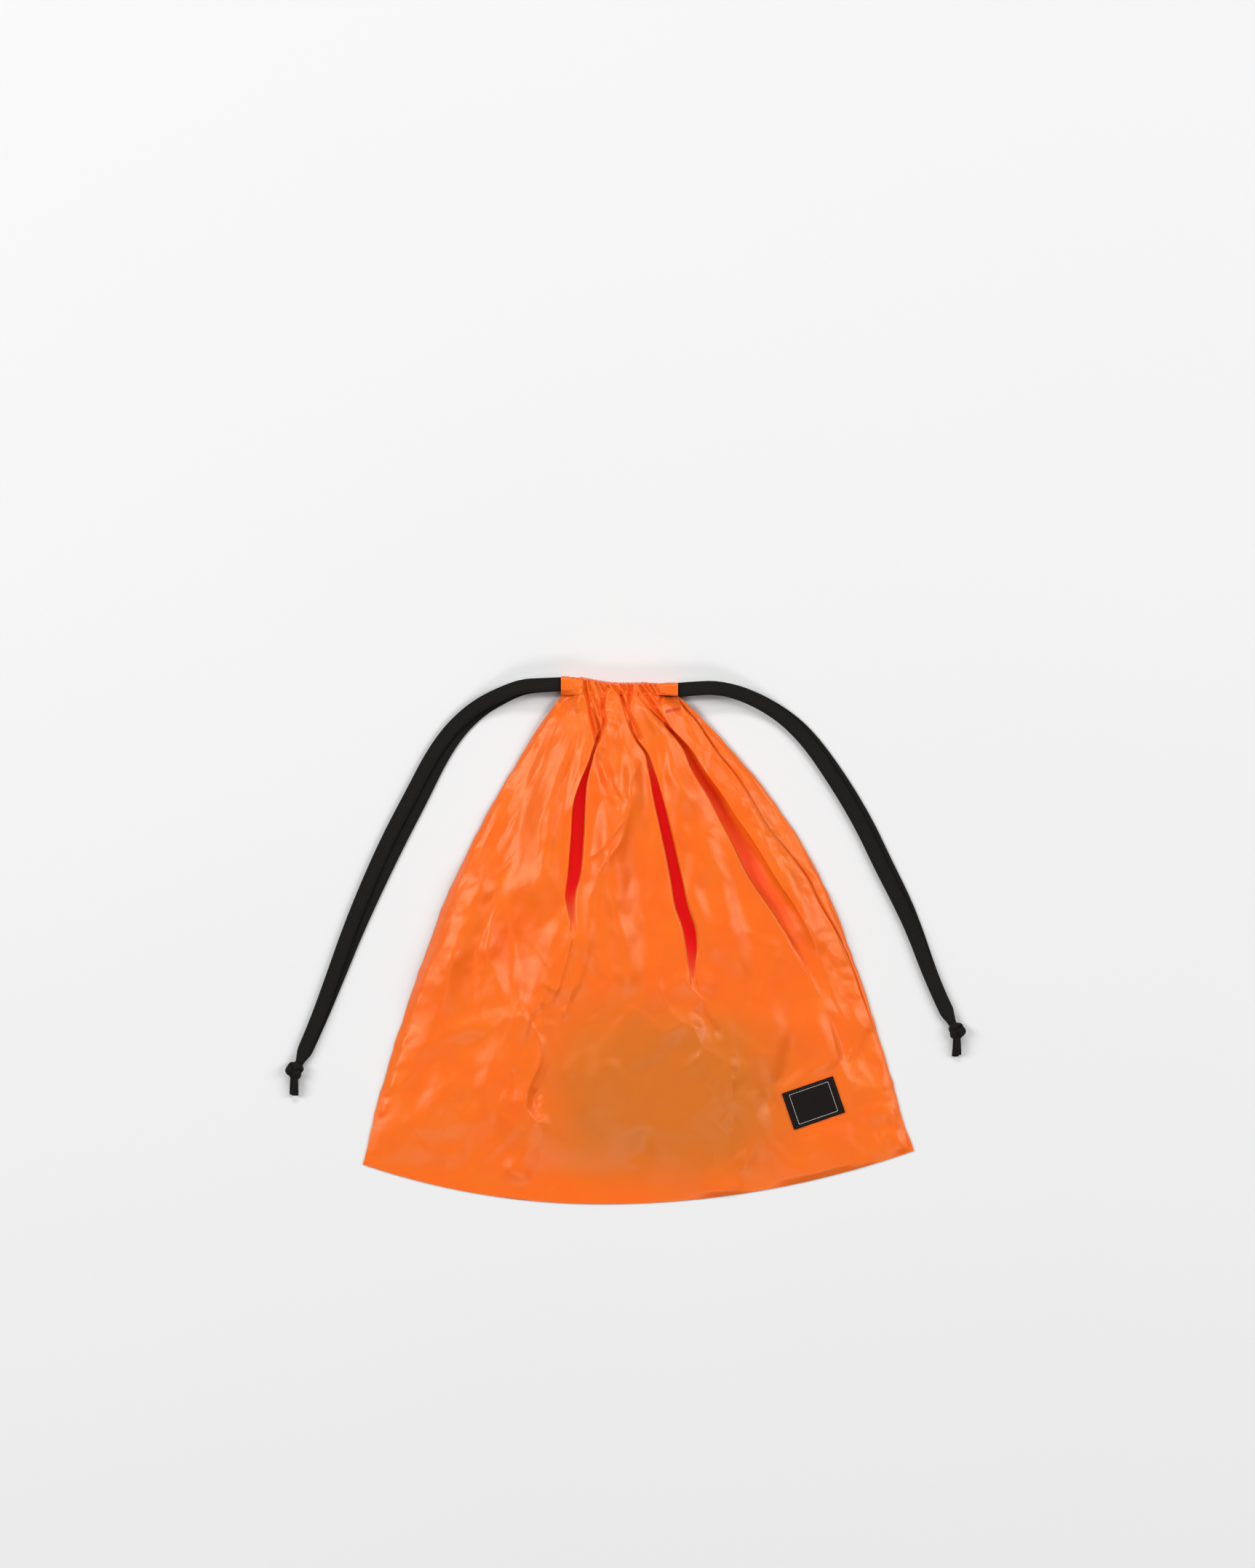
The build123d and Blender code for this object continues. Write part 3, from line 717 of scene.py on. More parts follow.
# Gathers at the mouth: height, half width and the line (x, y) of each fold.
GATHERS = [
    (-0.001, 0.0012, [(-0.0447, 0.1836), (-0.0455, 0.178), (-0.0481, 0.1724), (-0.0527, 0.1695)]),
    (-0.0012, 0.0013, [(-0.0405, 0.1842), (-0.0408, 0.178), (-0.0398, 0.173), (-0.041, 0.1699)]),
    (-0.0034, 0.0012, [
        (-0.036, 0.1849), (-0.0365, 0.178), (-0.036, 0.1711), (-0.0343, 0.1643), (-0.0325, 0.1542),
        (-0.0297, 0.143), (-0.0285, 0.1355),
    ]),
    (-0.0022, 0.0009, [
        (-0.0331, 0.183), (-0.0338, 0.1767), (-0.0318, 0.1699), (-0.0275, 0.1605), (-0.0256, 0.153),
    ]),
    (-0.0026, 0.0009, [
        (-0.0306, 0.1836), (-0.0293, 0.178), (-0.027, 0.1724), (-0.0248, 0.1649), (-0.024, 0.1555),
    ]),
    (-0.003, 0.0011, [
        (-0.0275, 0.1836), (-0.0265, 0.178), (-0.0248, 0.173), (-0.0235, 0.1668), (-0.0248, 0.1593),
        (-0.0235, 0.1505), (-0.0262, 0.1417), (-0.0285, 0.1343),
    ]),
    (-0.002, 0.0008, [(-0.0248, 0.183), (-0.023, 0.178), (-0.0203, 0.1745), (-0.0187, 0.1718)]),
    (-0.0024, 0.001, [(-0.0222, 0.1842), (-0.0208, 0.178), (-0.0217, 0.173), (-0.024, 0.1674)]),
    (-0.0028, 0.0011, [
        (-0.0195, 0.1836), (-0.0182, 0.1767), (-0.0152, 0.1724), (-0.0119, 0.1686), (-0.0095, 0.163),
        (-0.0066, 0.1561), (-0.0022, 0.1474), (0.0019, 0.1368),
    ]),
    (-0.002, 0.0008, [(-0.015, 0.1832), (-0.0132, 0.178), (-0.01, 0.173), (-0.0073, 0.1674)]),
    (-0.0028, 0.0009, [
        (-0.0119, 0.1836), (-0.0103, 0.178), (-0.0088, 0.173), (-0.0065, 0.1699), (-0.0073, 0.1643),
    ]),
    (-0.0024, 0.0008, [(-0.0085, 0.1836), (-0.0069, 0.178), (-0.0063, 0.1736), (-0.0047, 0.1705)]),
    (-0.0026, 0.001, [
        (-0.0037, 0.1842), (-0.004, 0.178), (-0.005, 0.1711), (-0.0063, 0.1643), (-0.007, 0.1568),
    ]),
    (-0.0034, 0.0012, [
        (-0.0006, 0.1842), (0.0003, 0.178), (0.0037, 0.1711), (0.009, 0.1643), (0.0127, 0.1578),
        (0.0187, 0.1492), (0.025, 0.1399),
    ]),
    (-0.0022, 0.0008, [
        (0.0031, 0.183), (0.004, 0.1767), (0.0077, 0.1711), (0.0119, 0.1655), (0.0131, 0.1593),
    ]),
    (-0.0026, 0.0008, [(0.0063, 0.1836), (0.0073, 0.1774), (0.0107, 0.1711), (0.0135, 0.1649)]),
    (-0.0024, 0.0009, [
        (0.0094, 0.1836), (0.0103, 0.178), (0.0131, 0.1724), (0.0147, 0.1668), (0.0135, 0.1605),
    ]),
    (-0.0022, 0.0009, [
        (0.0125, 0.183), (0.0131, 0.178), (0.0158, 0.1736), (0.0165, 0.1686), (0.014, 0.1618),
    ]),
    (-0.0012, 0.0012, [(0.0175, 0.1817), (0.0187, 0.1767), (0.0203, 0.1718)]),
    (0.0018, 0.003, [(-0.0387, 0.1817), (-0.039, 0.1755), (-0.0406, 0.1668), (-0.0431, 0.1568)]),
    (0.0016, 0.003, [(-0.0163, 0.1643), (-0.0156, 0.1555), (-0.0138, 0.1442)]),
    (0.002, 0.0035, [(-0.0003, 0.168), (0.0063, 0.1568), (0.0163, 0.1405)]),
]
fan_point = (-0.013, 0.253)  # where the lines of the two side edges would meet
# Facets: size around the fan point in radians, size away from it, height, softening and seed.
FACETS = [
    (0.125, 0.065, 0.0046, 2, 3), (0.062, 0.034, 0.0030, 1, 4),
    (0.030, 0.015, 0.0014, 1, 5), (0.015, 0.008, 0.0004, 1, 6),
]
crease_strength = 1.10
deepest_gather, highest_gather = -0.0031, 0.0030
# painted shade: how red the deepest gather valleys are painted
gather_painted_shade = 0.32
lip_overlap = 0.9  # how far a pleat's lips hang over it, as a share of its half width
lip_share, lip_reach = 0.16, 0.006  # how a pleat's lips rise beside it: share of its depth, and how far
seam_height, stitch_groove = 0.0016, 0.0012
# Creases: height, half width, 1 for a sharp one, and the points (x, y) that each one follows.
CREASES = [
    (0.005, 0.013, 0, [
        (-0.05, 0.165), (-0.0499, 0.1475), (-0.049, 0.1355), (-0.0552, 0.1167), (-0.059, 0.0926),
        (-0.062, 0.0766), (-0.066, 0.045), (-0.07, 0.01),
    ]),
    (-0.003, 0.012, 0, [(-0.07, 0.12), (-0.084, 0.085), (-0.095, 0.045), (-0.1, 0.01)]),
    (0.003, 0.012, 0, [(-0.1, 0.065), (-0.115, 0.03), (-0.128, -0.01), (-0.138, -0.05)]),
    (0.0034, 0.008, 0, [(-0.018, 0.1), (-0.019, 0.07), (-0.015, 0.03), (-0.008, -0.01), (-0.004, -0.04)]),
    (0.004, 0.01, 0, [(0.028, 0.12), (0.04, 0.085), (0.052, 0.05), (0.064, 0.01), (0.072, -0.03)]),
    (-0.0026, 0.011, 0, [(0.05, 0.06), (0.064, 0.03), (0.078, -0.02), (0.086, -0.06)]),
    (0.0036, 0.007, 0, [(0.06, 0.11), (0.078, 0.085), (0.096, 0.055), (0.113, 0.02), (0.126, -0.01)]),
    (0.0026, 0.013, 0, [(0.115, -0.04), (0.13, -0.08), (0.142, -0.12)]),
    (0.0024, 0.014, 0, [(-0.12, -0.09), (-0.135, -0.12), (-0.142, -0.145)]),
    (-0.003, 0.015, 0, [(-0.108, -0.055), (-0.118, -0.09), (-0.112, -0.125)]),
    (0.0012, 0.0045, 1, [(-0.0626, 0.1047), (-0.0639, 0.0926), (-0.0612, 0.0779), (-0.0545, 0.0632)]),
    (0.0018, 0.0035, 1, [
        (-0.0215, 0.1475), (-0.025, 0.1315), (-0.0262, 0.1167), (-0.0282, 0.098), (-0.0331, 0.0779),
        (-0.0358, 0.0578), (-0.0345, 0.04),
    ]),
    (-0.0036, 0.0042, 0, [
        (-0.027, 0.133), (-0.025, 0.1217), (-0.0206, 0.1105), (-0.0165, 0.1), (-0.012, 0.09),
    ]),
    (0.003, 0.0065, 0, [
        (-0.0162, 0.16), (-0.0137, 0.1442), (-0.0062, 0.1267), (-0.004, 0.109), (-0.002, 0.085),
    ]),
    (0.0036, 0.0085, 0, [
        (-0.0006, 0.17), (0.0062, 0.1567), (0.0162, 0.1405), (0.0262, 0.1217), (0.0337, 0.1017),
        (0.04, 0.08),
    ]),
    (0.0016, 0.0022, 1, [
        (-0.0184, 0.1127), (-0.0117, 0.1007), (-0.009, 0.0926), (-0.0097, 0.0846), (-0.0157, 0.0752),
        (-0.0251, 0.0632), (-0.0351, 0.0555),
    ]),
    (0.0026, 0.0034, 1, [
        (0.0017, 0.1248), (-0.005, 0.1087), (-0.0057, 0.0926), (-0.0077, 0.0806), (-0.0117, 0.0685),
        (-0.0197, 0.0578), (-0.0264, 0.0471), (-0.0304, 0.0337), (-0.0323, 0.0277), (-0.0338, 0.0101),
        (-0.036, -0.0105), (-0.0426, -0.0295), (-0.0484, -0.0442), (-0.0514, -0.0559),
    ]),
    (0.0012, 0.0028, 1, [(-0.0211, 0.1583), (-0.0197, 0.1516), (-0.013, 0.1522)]),
    (0.0026, 0.007, 0, [
        (0.0164, 0.1288), (0.0258, 0.1087), (0.0278, 0.09), (0.0298, 0.0766), (0.0365, 0.0632),
        (0.0379, 0.0525), (0.0379, 0.0337), (0.047, 0.0086), (0.0514, -0.0046), (0.0558, -0.0178),
    ]),
    (0.001, 0.0018, 1, [(0.0466, 0.0725), (0.0526, 0.0806)]),
    (0.0014, 0.0025, 1, [(0.0392, 0.1315), (0.0499, 0.1295)]),
    (0.0022, 0.003, 1, [
        (-0.044, 0.0101), (-0.0484, -0.0105), (-0.0528, -0.0266), (-0.0558, -0.0332), (-0.0631, -0.0295),
        (-0.0675, -0.0288),
    ]),
    (0.0014, 0.0024, 1, [(-0.0661, -0.0354), (-0.0661, -0.0471), (-0.0638, -0.0633)]),
    (0.0034, 0.004, 1, [
        (-0.0822, -0.0398), (-0.0778, -0.0515), (-0.0705, -0.0618), (-0.0661, -0.0706), (-0.0675, -0.0838),
        (-0.0734, -0.097), (-0.0763, -0.1073), (-0.0749, -0.1161), (-0.069, -0.1234), (-0.0616, -0.119),
    ]),
    (-0.0018, 0.004, 0, [(-0.07, -0.1), (-0.0715, -0.1073), (-0.07, -0.114), (-0.0665, -0.116)]),
    (-0.0016, 0.0035, 1, [(-0.0866, -0.1088), (-0.0844, -0.0853)]),
    (0.0016, 0.007, 0, [(-0.1423, -0.0604), (-0.1306, -0.0618), (-0.113, -0.0589), (-0.1042, -0.0662)]),
    (0.0018, 0.008, 0, [(-0.135, -0.0207), (-0.1174, -0.0061), (-0.1071, -0.0046), (-0.0983, -0.0119)]),
    (-0.0034, 0.0085, 0, [(-0.0881, 0.02), (-0.0873, -0.0163), (-0.0851, -0.0354), (-0.0778, -0.0501)]),
    (0.0014, 0.004, 1, [(-0.1233, 0.0423), (-0.1247, 0.0277), (-0.1203, 0.0174)]),
    (0.0014, 0.006, 0, [(-0.0939, -0.1498), (-0.0851, -0.1586), (-0.0719, -0.1631)]),
    (0.0008, 0.003, 1, [(-0.1218, -0.141), (-0.1262, -0.1586)]),
    (0.002, 0.0034, 1, [
        (0.0265, -0.0193), (0.0338, -0.0296), (0.0426, -0.0384), (0.0485, -0.0472), (0.056, -0.057),
        (0.0639, -0.0706), (0.0646, -0.0853), (0.0646, -0.1015), (0.0676, -0.1117), (0.0734, -0.1117),
    ]),
    (-0.0016, 0.005, 0, [(0.04, -0.044), (0.048, -0.056), (0.056, -0.069)]),
    (0.0018, 0.004, 1, [
        (0.0191, -0.009), (0.0133, -0.0149), (0.0133, -0.0296), (0.0191, -0.0442), (0.0294, -0.0545),
        (0.047, -0.0604),
    ]),
    (0.001, 0.003, 1, [(0.0646, 0.013), (0.0852, 0.0013), (0.0976, -0.0046)]),
    (0.0014, 0.0034, 1, [(0.0976, -0.0046), (0.094, -0.0149), (0.0866, -0.0296), (0.0822, -0.0442)]),
    (0.002, 0.0028, 1, [(0.116, 0.0174), (0.1086, 0.0042), (0.1057, -0.0017)]),
    (0.0016, 0.004, 1, [(0.124, 0.006), (0.131, -0.006), (0.14, -0.015)]),
    (-0.0022, 0.005, 0, [(0.1277, -0.0442), (0.138, -0.0677), (0.1424, -0.0824), (0.1483, -0.0794)]),
    (0.0018, 0.0034, 1, [(0.1453, -0.0413), (0.1512, -0.0545), (0.1622, -0.0633)]),
    (-0.0018, 0.0065, 0, [(0.1058, -0.06), (0.0998, -0.09), (0.0905, -0.11), (0.085, -0.125)]),
    (0.0012, 0.009, 0, [(0.0793, -0.1281), (0.0646, -0.16)]),
    (0.001, 0.0026, 1, [(-0.0088, -0.0428), (0.0074, -0.053), (0.0265, -0.0721)]),
    (-0.001, 0.006, 0, [(0.0059, -0.1264), (0.0015, -0.1528)]),
    (0.0014, 0.005, 0, [(0.165, -0.1352), (0.1745, -0.1337), (0.18, -0.144)]),
    (0.0012, 0.0022, 1, [
        (-0.0888, 0.1059), (-0.0946, 0.0891), (-0.1002, 0.0771), (-0.1058, 0.0659), (-0.1114, 0.0526),
        (-0.1184, 0.0463), (-0.1247, 0.0414), (-0.1296, 0.0315),
    ]),
    (0.0016, 0.005, 0, [(-0.1128, 0.0498), (-0.1072, 0.0399), (-0.103, 0.0268)]),
]


def eased_points(points, steps=9):
    """More points on the smooth curve through a crease's own points."""
    points = np.array(points, float)
    tangents = np.gradient(points, axis=0)
    out = []
    for p, q, m, n in zip(points, points[1:], tangents, tangents[1:]):
        out += [eased(p, q, m, n, s) for s in np.linspace(0, 1, steps, endpoint=False)]
    return np.array(out + [points[-1]])


def crease_relief(x, y, height, half_width, sharp, points):
    """One crease's height at every place: a fading ridge, or a valley if the height is negative."""
    line = eased_points(points)
    reach = (14 if sharp else 3.2) * half_width
    near = (x > line[:, 0].min() - reach) & (x < line[:, 0].max() + reach)
    near &= (y > line[:, 1].min() - reach) & (y < line[:, 1].max() + reach)
    px, py = x[near], y[near]
    best, place, side = np.full(px.shape, 1e9), np.zeros(px.shape), np.ones(px.shape)
    travel = distance_along(line)
    for (x1, y1), (x2, y2), start, end in zip(line, line[1:], travel, travel[1:]):
        dx, dy = x2 - x1, y2 - y1
        s = np.clip(((px - x1) * dx + (py - y1) * dy) / (dx * dx + dy * dy), 0, 1)
        gap = np.hypot(px - x1 - s * dx, py - y1 - s * dy)
        closer = gap < best
        best[closer], place[closer] = gap[closer], (start + s * (end - start))[closer]
        side[closer] = np.sign(dx * (py - y1) - dy * (px - x1))[closer]
    length = travel[-1]
    fade = min(0.35 * length, 3.0 * half_width)
    ends = smoothstep(0, fade, place + 0.1 * fade) * smoothstep(length, length - fade, place - 0.1 * fade)
    steep = np.where(side > 0, 1.1 * half_width, 3.2 * half_width)  # a sharp crease has one steeper side
    shape = np.exp(-(best + 0.0004) / steep) if sharp else np.exp(-((best / half_width) ** 2))
    relief = np.zeros(x.shape)
    relief[near] = height * ends * shape
    return relief


def facet_relief(x, y, turn_step, reach_step, seed):
    """Flat facets that meet in crisp creases, as in thin crumpled cloth, from -1 to 1.

    The facets fan out from a point above the mouth, as the cloth's folds do.
    """
    turn = np.arctan2(x - fan_point[0], fan_point[1] - y) / turn_step
    reach = np.hypot(x - fan_point[0], y - fan_point[1]) / reach_step
    turn = turn + 0.25 * value_noise(x, y, 0.05, seed + 50)
    rng = np.random.default_rng(seed)
    low_u, low_v = int(turn.min()) - 2, int(reach.min()) - 2
    count_u, count_v = int(turn.max()) + 3 - low_u, int(reach.max()) + 3 - low_v
    grid = [(i, j) for i in range(count_u) for j in range(count_v)]
    corners = []
    for i, j in grid:
        shift_u, shift_v = rng.uniform(-0.42, 0.42), rng.uniform(-0.42, 0.42)
        corners.append(Vector((low_u + i + 0.5 * (j % 2) + shift_u, low_v + j + shift_v)))
    heights = rng.uniform(-1, 1, len(corners))
    triangles = geometry.delaunay_2d_cdt(corners, [], [], 0, 1e-6)[2]
    tree = BVHTree.FromPolygons([(c.x, c.y, h) for c, h in zip(corners, heights)], triangles)
    down = Vector((0, 0, -1))
    hits = [tree.ray_cast(Vector((u, v, 2)), down)[0] for u, v in zip(turn.ravel(), reach.ravel())]
    return np.array([hit.z if hit else 0.0 for hit in hits]).reshape(x.shape)


def softened(values, rounds):
    """Values on a grid, averaged with their neighbours a few times."""
    for _ in range(rounds):
        for axis in (0, 1):
            padded = np.pad(values, [(1, 1) if axis == k else (0, 0) for k in (0, 1)], mode="edge")
            lower, upper = (padded[:-2], padded[2:]) if axis == 0 else (padded[:, :-2], padded[:, 2:])
            values = 0.5 * values + 0.25 * (lower + upper)
    return values


def gather_relief(x, y, a=None):
    """The folds that the drawn-in mouth makes, on the casing and just under it."""
    relief = np.zeros(x.shape)
    for height, half_width, points in GATHERS:
        relief += crease_relief(x, y, height, half_width, 0, points)
    uneven = 0.0004 * value_noise(x, y, 0.0035, 24) * smoothstep(0.150, 0.168, y)
    return np.clip(relief, deepest_gather, highest_gather) + uneven


def cloth_relief(x, y):
    """All creases, facets and gentle unevenness of the front cloth, nearly flat under the label."""
    relief = np.zeros(x.shape)
    away = np.hypot(x - fan_point[0], y - fan_point[1])
    for crease in CREASES:
        relief += crease_strength * crease_relief(x, y, *crease)
    for turn_step, reach_step, height, rounds, seed in FACETS:
        patchy = smoothstep(-0.7, 0.7, value_noise(x, y, 0.06, seed))
        facets = softened(facet_relief(x, y, turn_step, reach_step, seed), rounds)
        relief += height * facets * (0.30 + 0.70 * patchy) * np.clip(away / 0.26, 0.2, 1)
    relief += 0.0008 * value_noise(x, y, 0.045, 1)
    turn = complex(math.cos(-label_angle), math.sin(-label_angle))
    place = (x - label_place[0] + 1j * (y - label_place[1])) * turn
    off_x = np.abs(place.real) - label_size[0] / 2 - 0.001
    off_y = np.abs(place.imag) - label_size[1] / 2 - 0.001
    return relief * (0.15 + 0.85 * smoothstep(0, 0.010, np.maximum(off_x, off_y)))


# ---------------------------------------------------------------- front and back cloth
front_x, front_y = plan_place(across)
base_z = front_base(across, front_y)
painted_fold_shade = np.zeros(across.shape)
pleat_dx, pleat_dz = np.zeros(across.shape), np.zeros(across.shape)
for pleat in PLEATS:
    first, last = pleat["columns"]
    inside = slice(first, last + 1)
    q = np.linspace(0, 1, last - first + 1)[None, :]
    y = front_y[:, inside]
    depth = np.maximum(curve_through(pleat["depth"])(y), 0)
    half = curve_through(pleat["half"])(y)
    folded = smoothstep(0.0, 0.006, depth)
    round_x = -np.cos(math.pi * q)
    overlap = lip_overlap if pleat["lips"] == 2 else np.where(q < 0.5, lip_overlap, 0.0)
    folded_x = round_x - overlap * np.sin(2 * math.pi * q)
    pleat_dx[:, inside] = (folded_x - (2 * q - 1)) * half * folded
    fall = np.sin(math.pi * q) ** 0.8 if pleat["lips"] == 2 else np.sin(math.pi * q**0.62) ** 1.1
    depth = np.minimum(depth, base_z[:, inside] - 0.0022)
    pleat_dz[:, inside] = -depth * fall
    shown = fall if pleat["lips"] == 2 else fall * smoothstep(1.0, 0.25, q)
    # painted shade: red painted where the pleat's inside lies deep under its lips
    seen = smoothstep(0.10, 0.70, shown) * smoothstep(0.0005, 0.0085, depth)
    painted_fold_shade[:, inside] = pleat["inside_painted_shade"] * seen * smoothstep(0.150, 0.112, y)

lip_rise = np.zeros(across.shape)
for pleat in PLEATS:
    for column, direction in zip(pleat["columns"], (-1, 1)):
        if pleat["lips"] == 1 and direction == 1:
            continue
        depth = np.maximum(curve_through(pleat["depth"])(front_y[:, column]), 0)[:, None]
        gap = (front_x - front_x[:, column : column + 1]) * direction
        lip_rise += np.where(gap >= 0, lip_share * depth * np.exp(-gap / lip_reach), 0)

edge_fade = smoothstep(0, 0.02, across) * smoothstep(1, 0.98, across) * smoothstep(1, 0.985, rows_t)[:, None]
top_fade = smoothstep(0.0, 0.03, rows_t)[:, None]
relief = cloth_relief(front_x, front_y)
seam_gap = front_x - seam_at(front_y)
seam_step = seam_height * np.where(seam_gap < 0, np.exp(seam_gap / 0.005), -np.exp(-seam_gap / 0.004))
seam_step -= stitch_groove * np.exp(-np.abs(seam_gap) / 0.0006)
beside_edge = np.exp(-(((front_x - front_x[:, :1] - 0.004) / 0.003) ** 2))
beside_seam = np.exp(-(((seam_gap - 0.002) / 0.004) ** 2)) + np.exp(-(((seam_gap + 0.006) / 0.004) ** 2))
ripple = value_noise(front_x * 0.25, front_y, 0.0045, 15) + value_noise(front_x * 0.3, front_y, 0.011, 16)
relief += 0.0007 * ripple * (beside_edge + 0.8 * beside_seam)
front_z = base_z + pleat_dz + edge_fade * top_fade * (relief + lip_rise + seam_step)
gathers = gather_relief(front_x, front_y)
front_z += gathers * smoothstep(0, 0.012, across) * smoothstep(1, 0.988, across)
# painted shade: the gathers' valleys are painted redder
painted_fold_shade = np.maximum(painted_fold_shade, gather_painted_shade * smoothstep(0.0010, 0.0032, -gathers))
front_x = front_x + pleat_dx
# where the front would sink into the back, it lies on it with a soft bend
over_back = front_z - back_height - sheet_gap
front_z = back_height + sheet_gap + (over_back + np.hypot(over_back, 0.0012 * edge_fade)) / 2
front_z[-1] = edge_height

# the brownish patch of the front cloth, a rounded rectangle with a soft, uneven edge
patch_x, patch_y = (front_x - 0.020) / 0.085, (front_y + 0.105) / 0.060
from_middle = (np.abs(patch_x) ** 3 + np.abs(patch_y) ** 3) ** (1 / 3)
patch = smoothstep(1.30, 0.55, from_middle + 0.05 * value_noise(front_x, front_y, 0.02, 8))

# y and z of the gathered casing, from its stitches (0) over the mouth edge to its inner hem (1)
casing_rise = curve_through([
    (0, 0), (0.15, 0.0022), (0.35, 0.0061), (0.55, 0.0106), (0.68, 0.0122), (0.8, 0.0108), (1.0, 0.003),
])
casing_height = curve_through([
    (0, 0.0164), (0.15, 0.0168), (0.35, 0.017), (0.55, 0.0166), (0.68, 0.0148), (0.8, 0.0106), (1.0, 0.0097),
])
# y of the mouth edge and of the casing's stitches, at places x along them
mouth_edge = curve_through([
    (-0.053, 0.1818), (-0.038, 0.1808), (-0.028, 0.179), (-0.018, 0.1776), (0.0, 0.1774), (0.027, 0.1773),
])
casing_foot = curve_through([
    (-0.053, 0.1706), (-0.04, 0.1695), (-0.028, 0.1688), (0.01, 0.1688), (0.027, 0.1671),
])


def casing_shape(x, a, folds):
    """y and z of the casing's rows, from its stitches over the mouth edge and inside.

    folds(x, y, a) gives the height of the gathers at places on the outside.
    """
    q = np.linspace(0, 1, casing_rows)[:, None]
    angle = math.pi * (1 - q)
    top, foot = mouth_edge(x)[None, :], casing_foot(x)[None, :]
    reach = (top - foot) / 2
    oval_y = foot + reach + reach * np.sign(np.cos(angle)) * np.abs(np.cos(angle)) ** 0.5
    oval_z = collar_mid_z + collar_mid_z * np.abs(np.sin(angle)) ** 0.45
    share = sleeve_share(x)[None, :]
    y = share * oval_y + (1 - share) * (foot + casing_rise(q) * (top - foot) / (mouth_y - casing_y))
    z = share * oval_z + (1 - share) * casing_height(q)
    relief = folds(x[None, :] + 0 * q, np.minimum(y, top), a)
    outer = smoothstep(0.95, 0.6, q) * (1 - 0.9 * share)
    return y + 0.6 * relief * smoothstep(0.35, 0.65, q) * outer, z + relief * outer


def build_cloth(x, y, z, a, folds, mirrored, attributes):
    """Places, normals and attributes of a whole cloth with its casing, as grids of rows by columns.

    Each attribute comes with the share of its top row's value that the casing keeps.
    """
    top_y, top_z = casing_shape(x[0], a[0], folds)
    if mirrored:
        top_z = collar_top - top_z
    near_foot = smoothstep(0.25, 0.0, np.linspace(0, 1, casing_rows))[:, None]
    top_z += (z[0] - top_z[0])[None, :] * near_foot
    top_y += (y[0] - top_y[0])[None, :] * near_foot
    rows_x = np.vstack([np.tile(x[0], (casing_rows - 1, 1)), x])
    rows_y = np.vstack([top_y[:0:-1], y])
    rows_z = np.vstack([top_z[:0:-1], z])
    places = np.stack([rows_x, rows_y, np.maximum(rows_z, back_height)], 2)
    down, right = np.gradient(places, axis=0), np.gradient(places, axis=1)
    normals = np.cross(down, right) * (-1 if mirrored else 1)
    normals /= np.maximum(np.linalg.norm(normals, axis=2), 1e-12)[..., None]
    values = {
        key: np.vstack([np.tile(value[0] * kept, (casing_rows - 1, 1)), value])
        for key, (value, kept) in attributes.items()
    }
    return places, normals, values


def cloth_half(name, places, normals, values, part, mirrored):
    """The sheet that some of a cloth's columns make; its neighbour has the same edge and normals."""
    part_places, part_normals = places[:, part], normals[:, part]
    rows, count = part_places.shape[:2]
    obj = new_object(name, part_places.reshape(-1, 3), grid_faces(rows, count, not mirrored), cloth)
    obj.data.normals_split_custom_set_from_vertices(part_normals.reshape(-1, 3).tolist())
    for key, value in values.items():
        set_attribute(obj, key, value[:, part])
    return obj


# the casing keeps 0.6 of its top row's painted fold shade
front = build_cloth(
    front_x, front_y, front_z, across, gather_relief, False,
    {"painted_fold_shade": (painted_fold_shade, 0.6), "show_through": (patch, 0.0)},
)
front_left = cloth_half("front_cloth_left", *front, slice(0, SPLIT_COLUMN + 1), False)
front_right = cloth_half("front_cloth_right", *front, slice(SPLIT_COLUMN, LAST_COLUMN + 1), False)

back_shares = np.tile(np.linspace(0, 1, back_columns)[None, :], (panel_rows, 1))
back_x, back_y = plan_place(back_shares)
rim = 1 - np.clip(4 * back_shares * (1 - back_shares), 0, 1) ** 0.35
foot_rise = 0.0009 * np.exp(-rows_t / 0.05)[:, None]
back_z = back_height + foot_rise * (1 - rim) + (edge_z[:, None] - back_height) * rim
back = build_cloth(
    back_x, back_y, back_z, back_shares, back_ruffles, True,
    {"painted_fold_shade": (0 * back_z, 0.0), "show_through": (0 * back_z, 0.0)},
)
back_middle = back_columns // 2
back_left = cloth_half("back_cloth_left", *back, slice(0, back_middle + 1), True)
back_right = cloth_half("back_cloth_right", *back, slice(back_middle, back_columns), True)

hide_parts("front_panel", "front_gathers", "left_sleeve")
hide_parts("right_sleeve")
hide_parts("back_panel", "back_gathers")
for side, piece in (
    ("left", front_left), ("left", back_left), ("right", front_right), ("right", back_right),
):
    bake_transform(piece)
# the seams inside keep their CAD shapes
for side in ("left", "right"):
    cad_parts[f"{side}_seam_allowance"].data.materials[0] = cloth
    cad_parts[f"{side}_seam_thread"].data.materials[0] = orange_thread

# ---------------------------------------------------------------- label and stitches on the front cloth
front_places = front[0]
rows, count = front_places.shape[:2]
surface = BVHTree.FromPolygons([tuple(v) for v in front_places.reshape(-1, 3)], grid_faces(rows, count, True))


def height_at(x, y):
    """The front cloth's height above the floor."""
    hit = surface.ray_cast(Vector((x, y, 1)), Vector((0, 0, -1)))
    return hit[0].z if hit[0] else 0.0


def label_point(u, v):
    """x and y of a place on the label, from its middle along its own edges."""
    c, s = math.cos(label_angle), math.sin(label_angle)
    return label_place[0] + u * c - v * s, label_place[1] + u * s + v * c


def fit_label():
    """The broad curved shape of the cloth under the label, and the lift that clears the cloth."""
    samples, heights = [], []
    for u in label_us[::6]:
        for v in label_vs[::4]:
            samples.append((1, u, v, u * u, u * v, v * v))
            heights.append(height_at(*label_point(u, v)))
    fit, *_ = np.linalg.lstsq(np.array(samples), np.array(heights), rcond=None)
    return fit, (np.array(heights) - np.array(samples) @ fit).max() + 0.0003


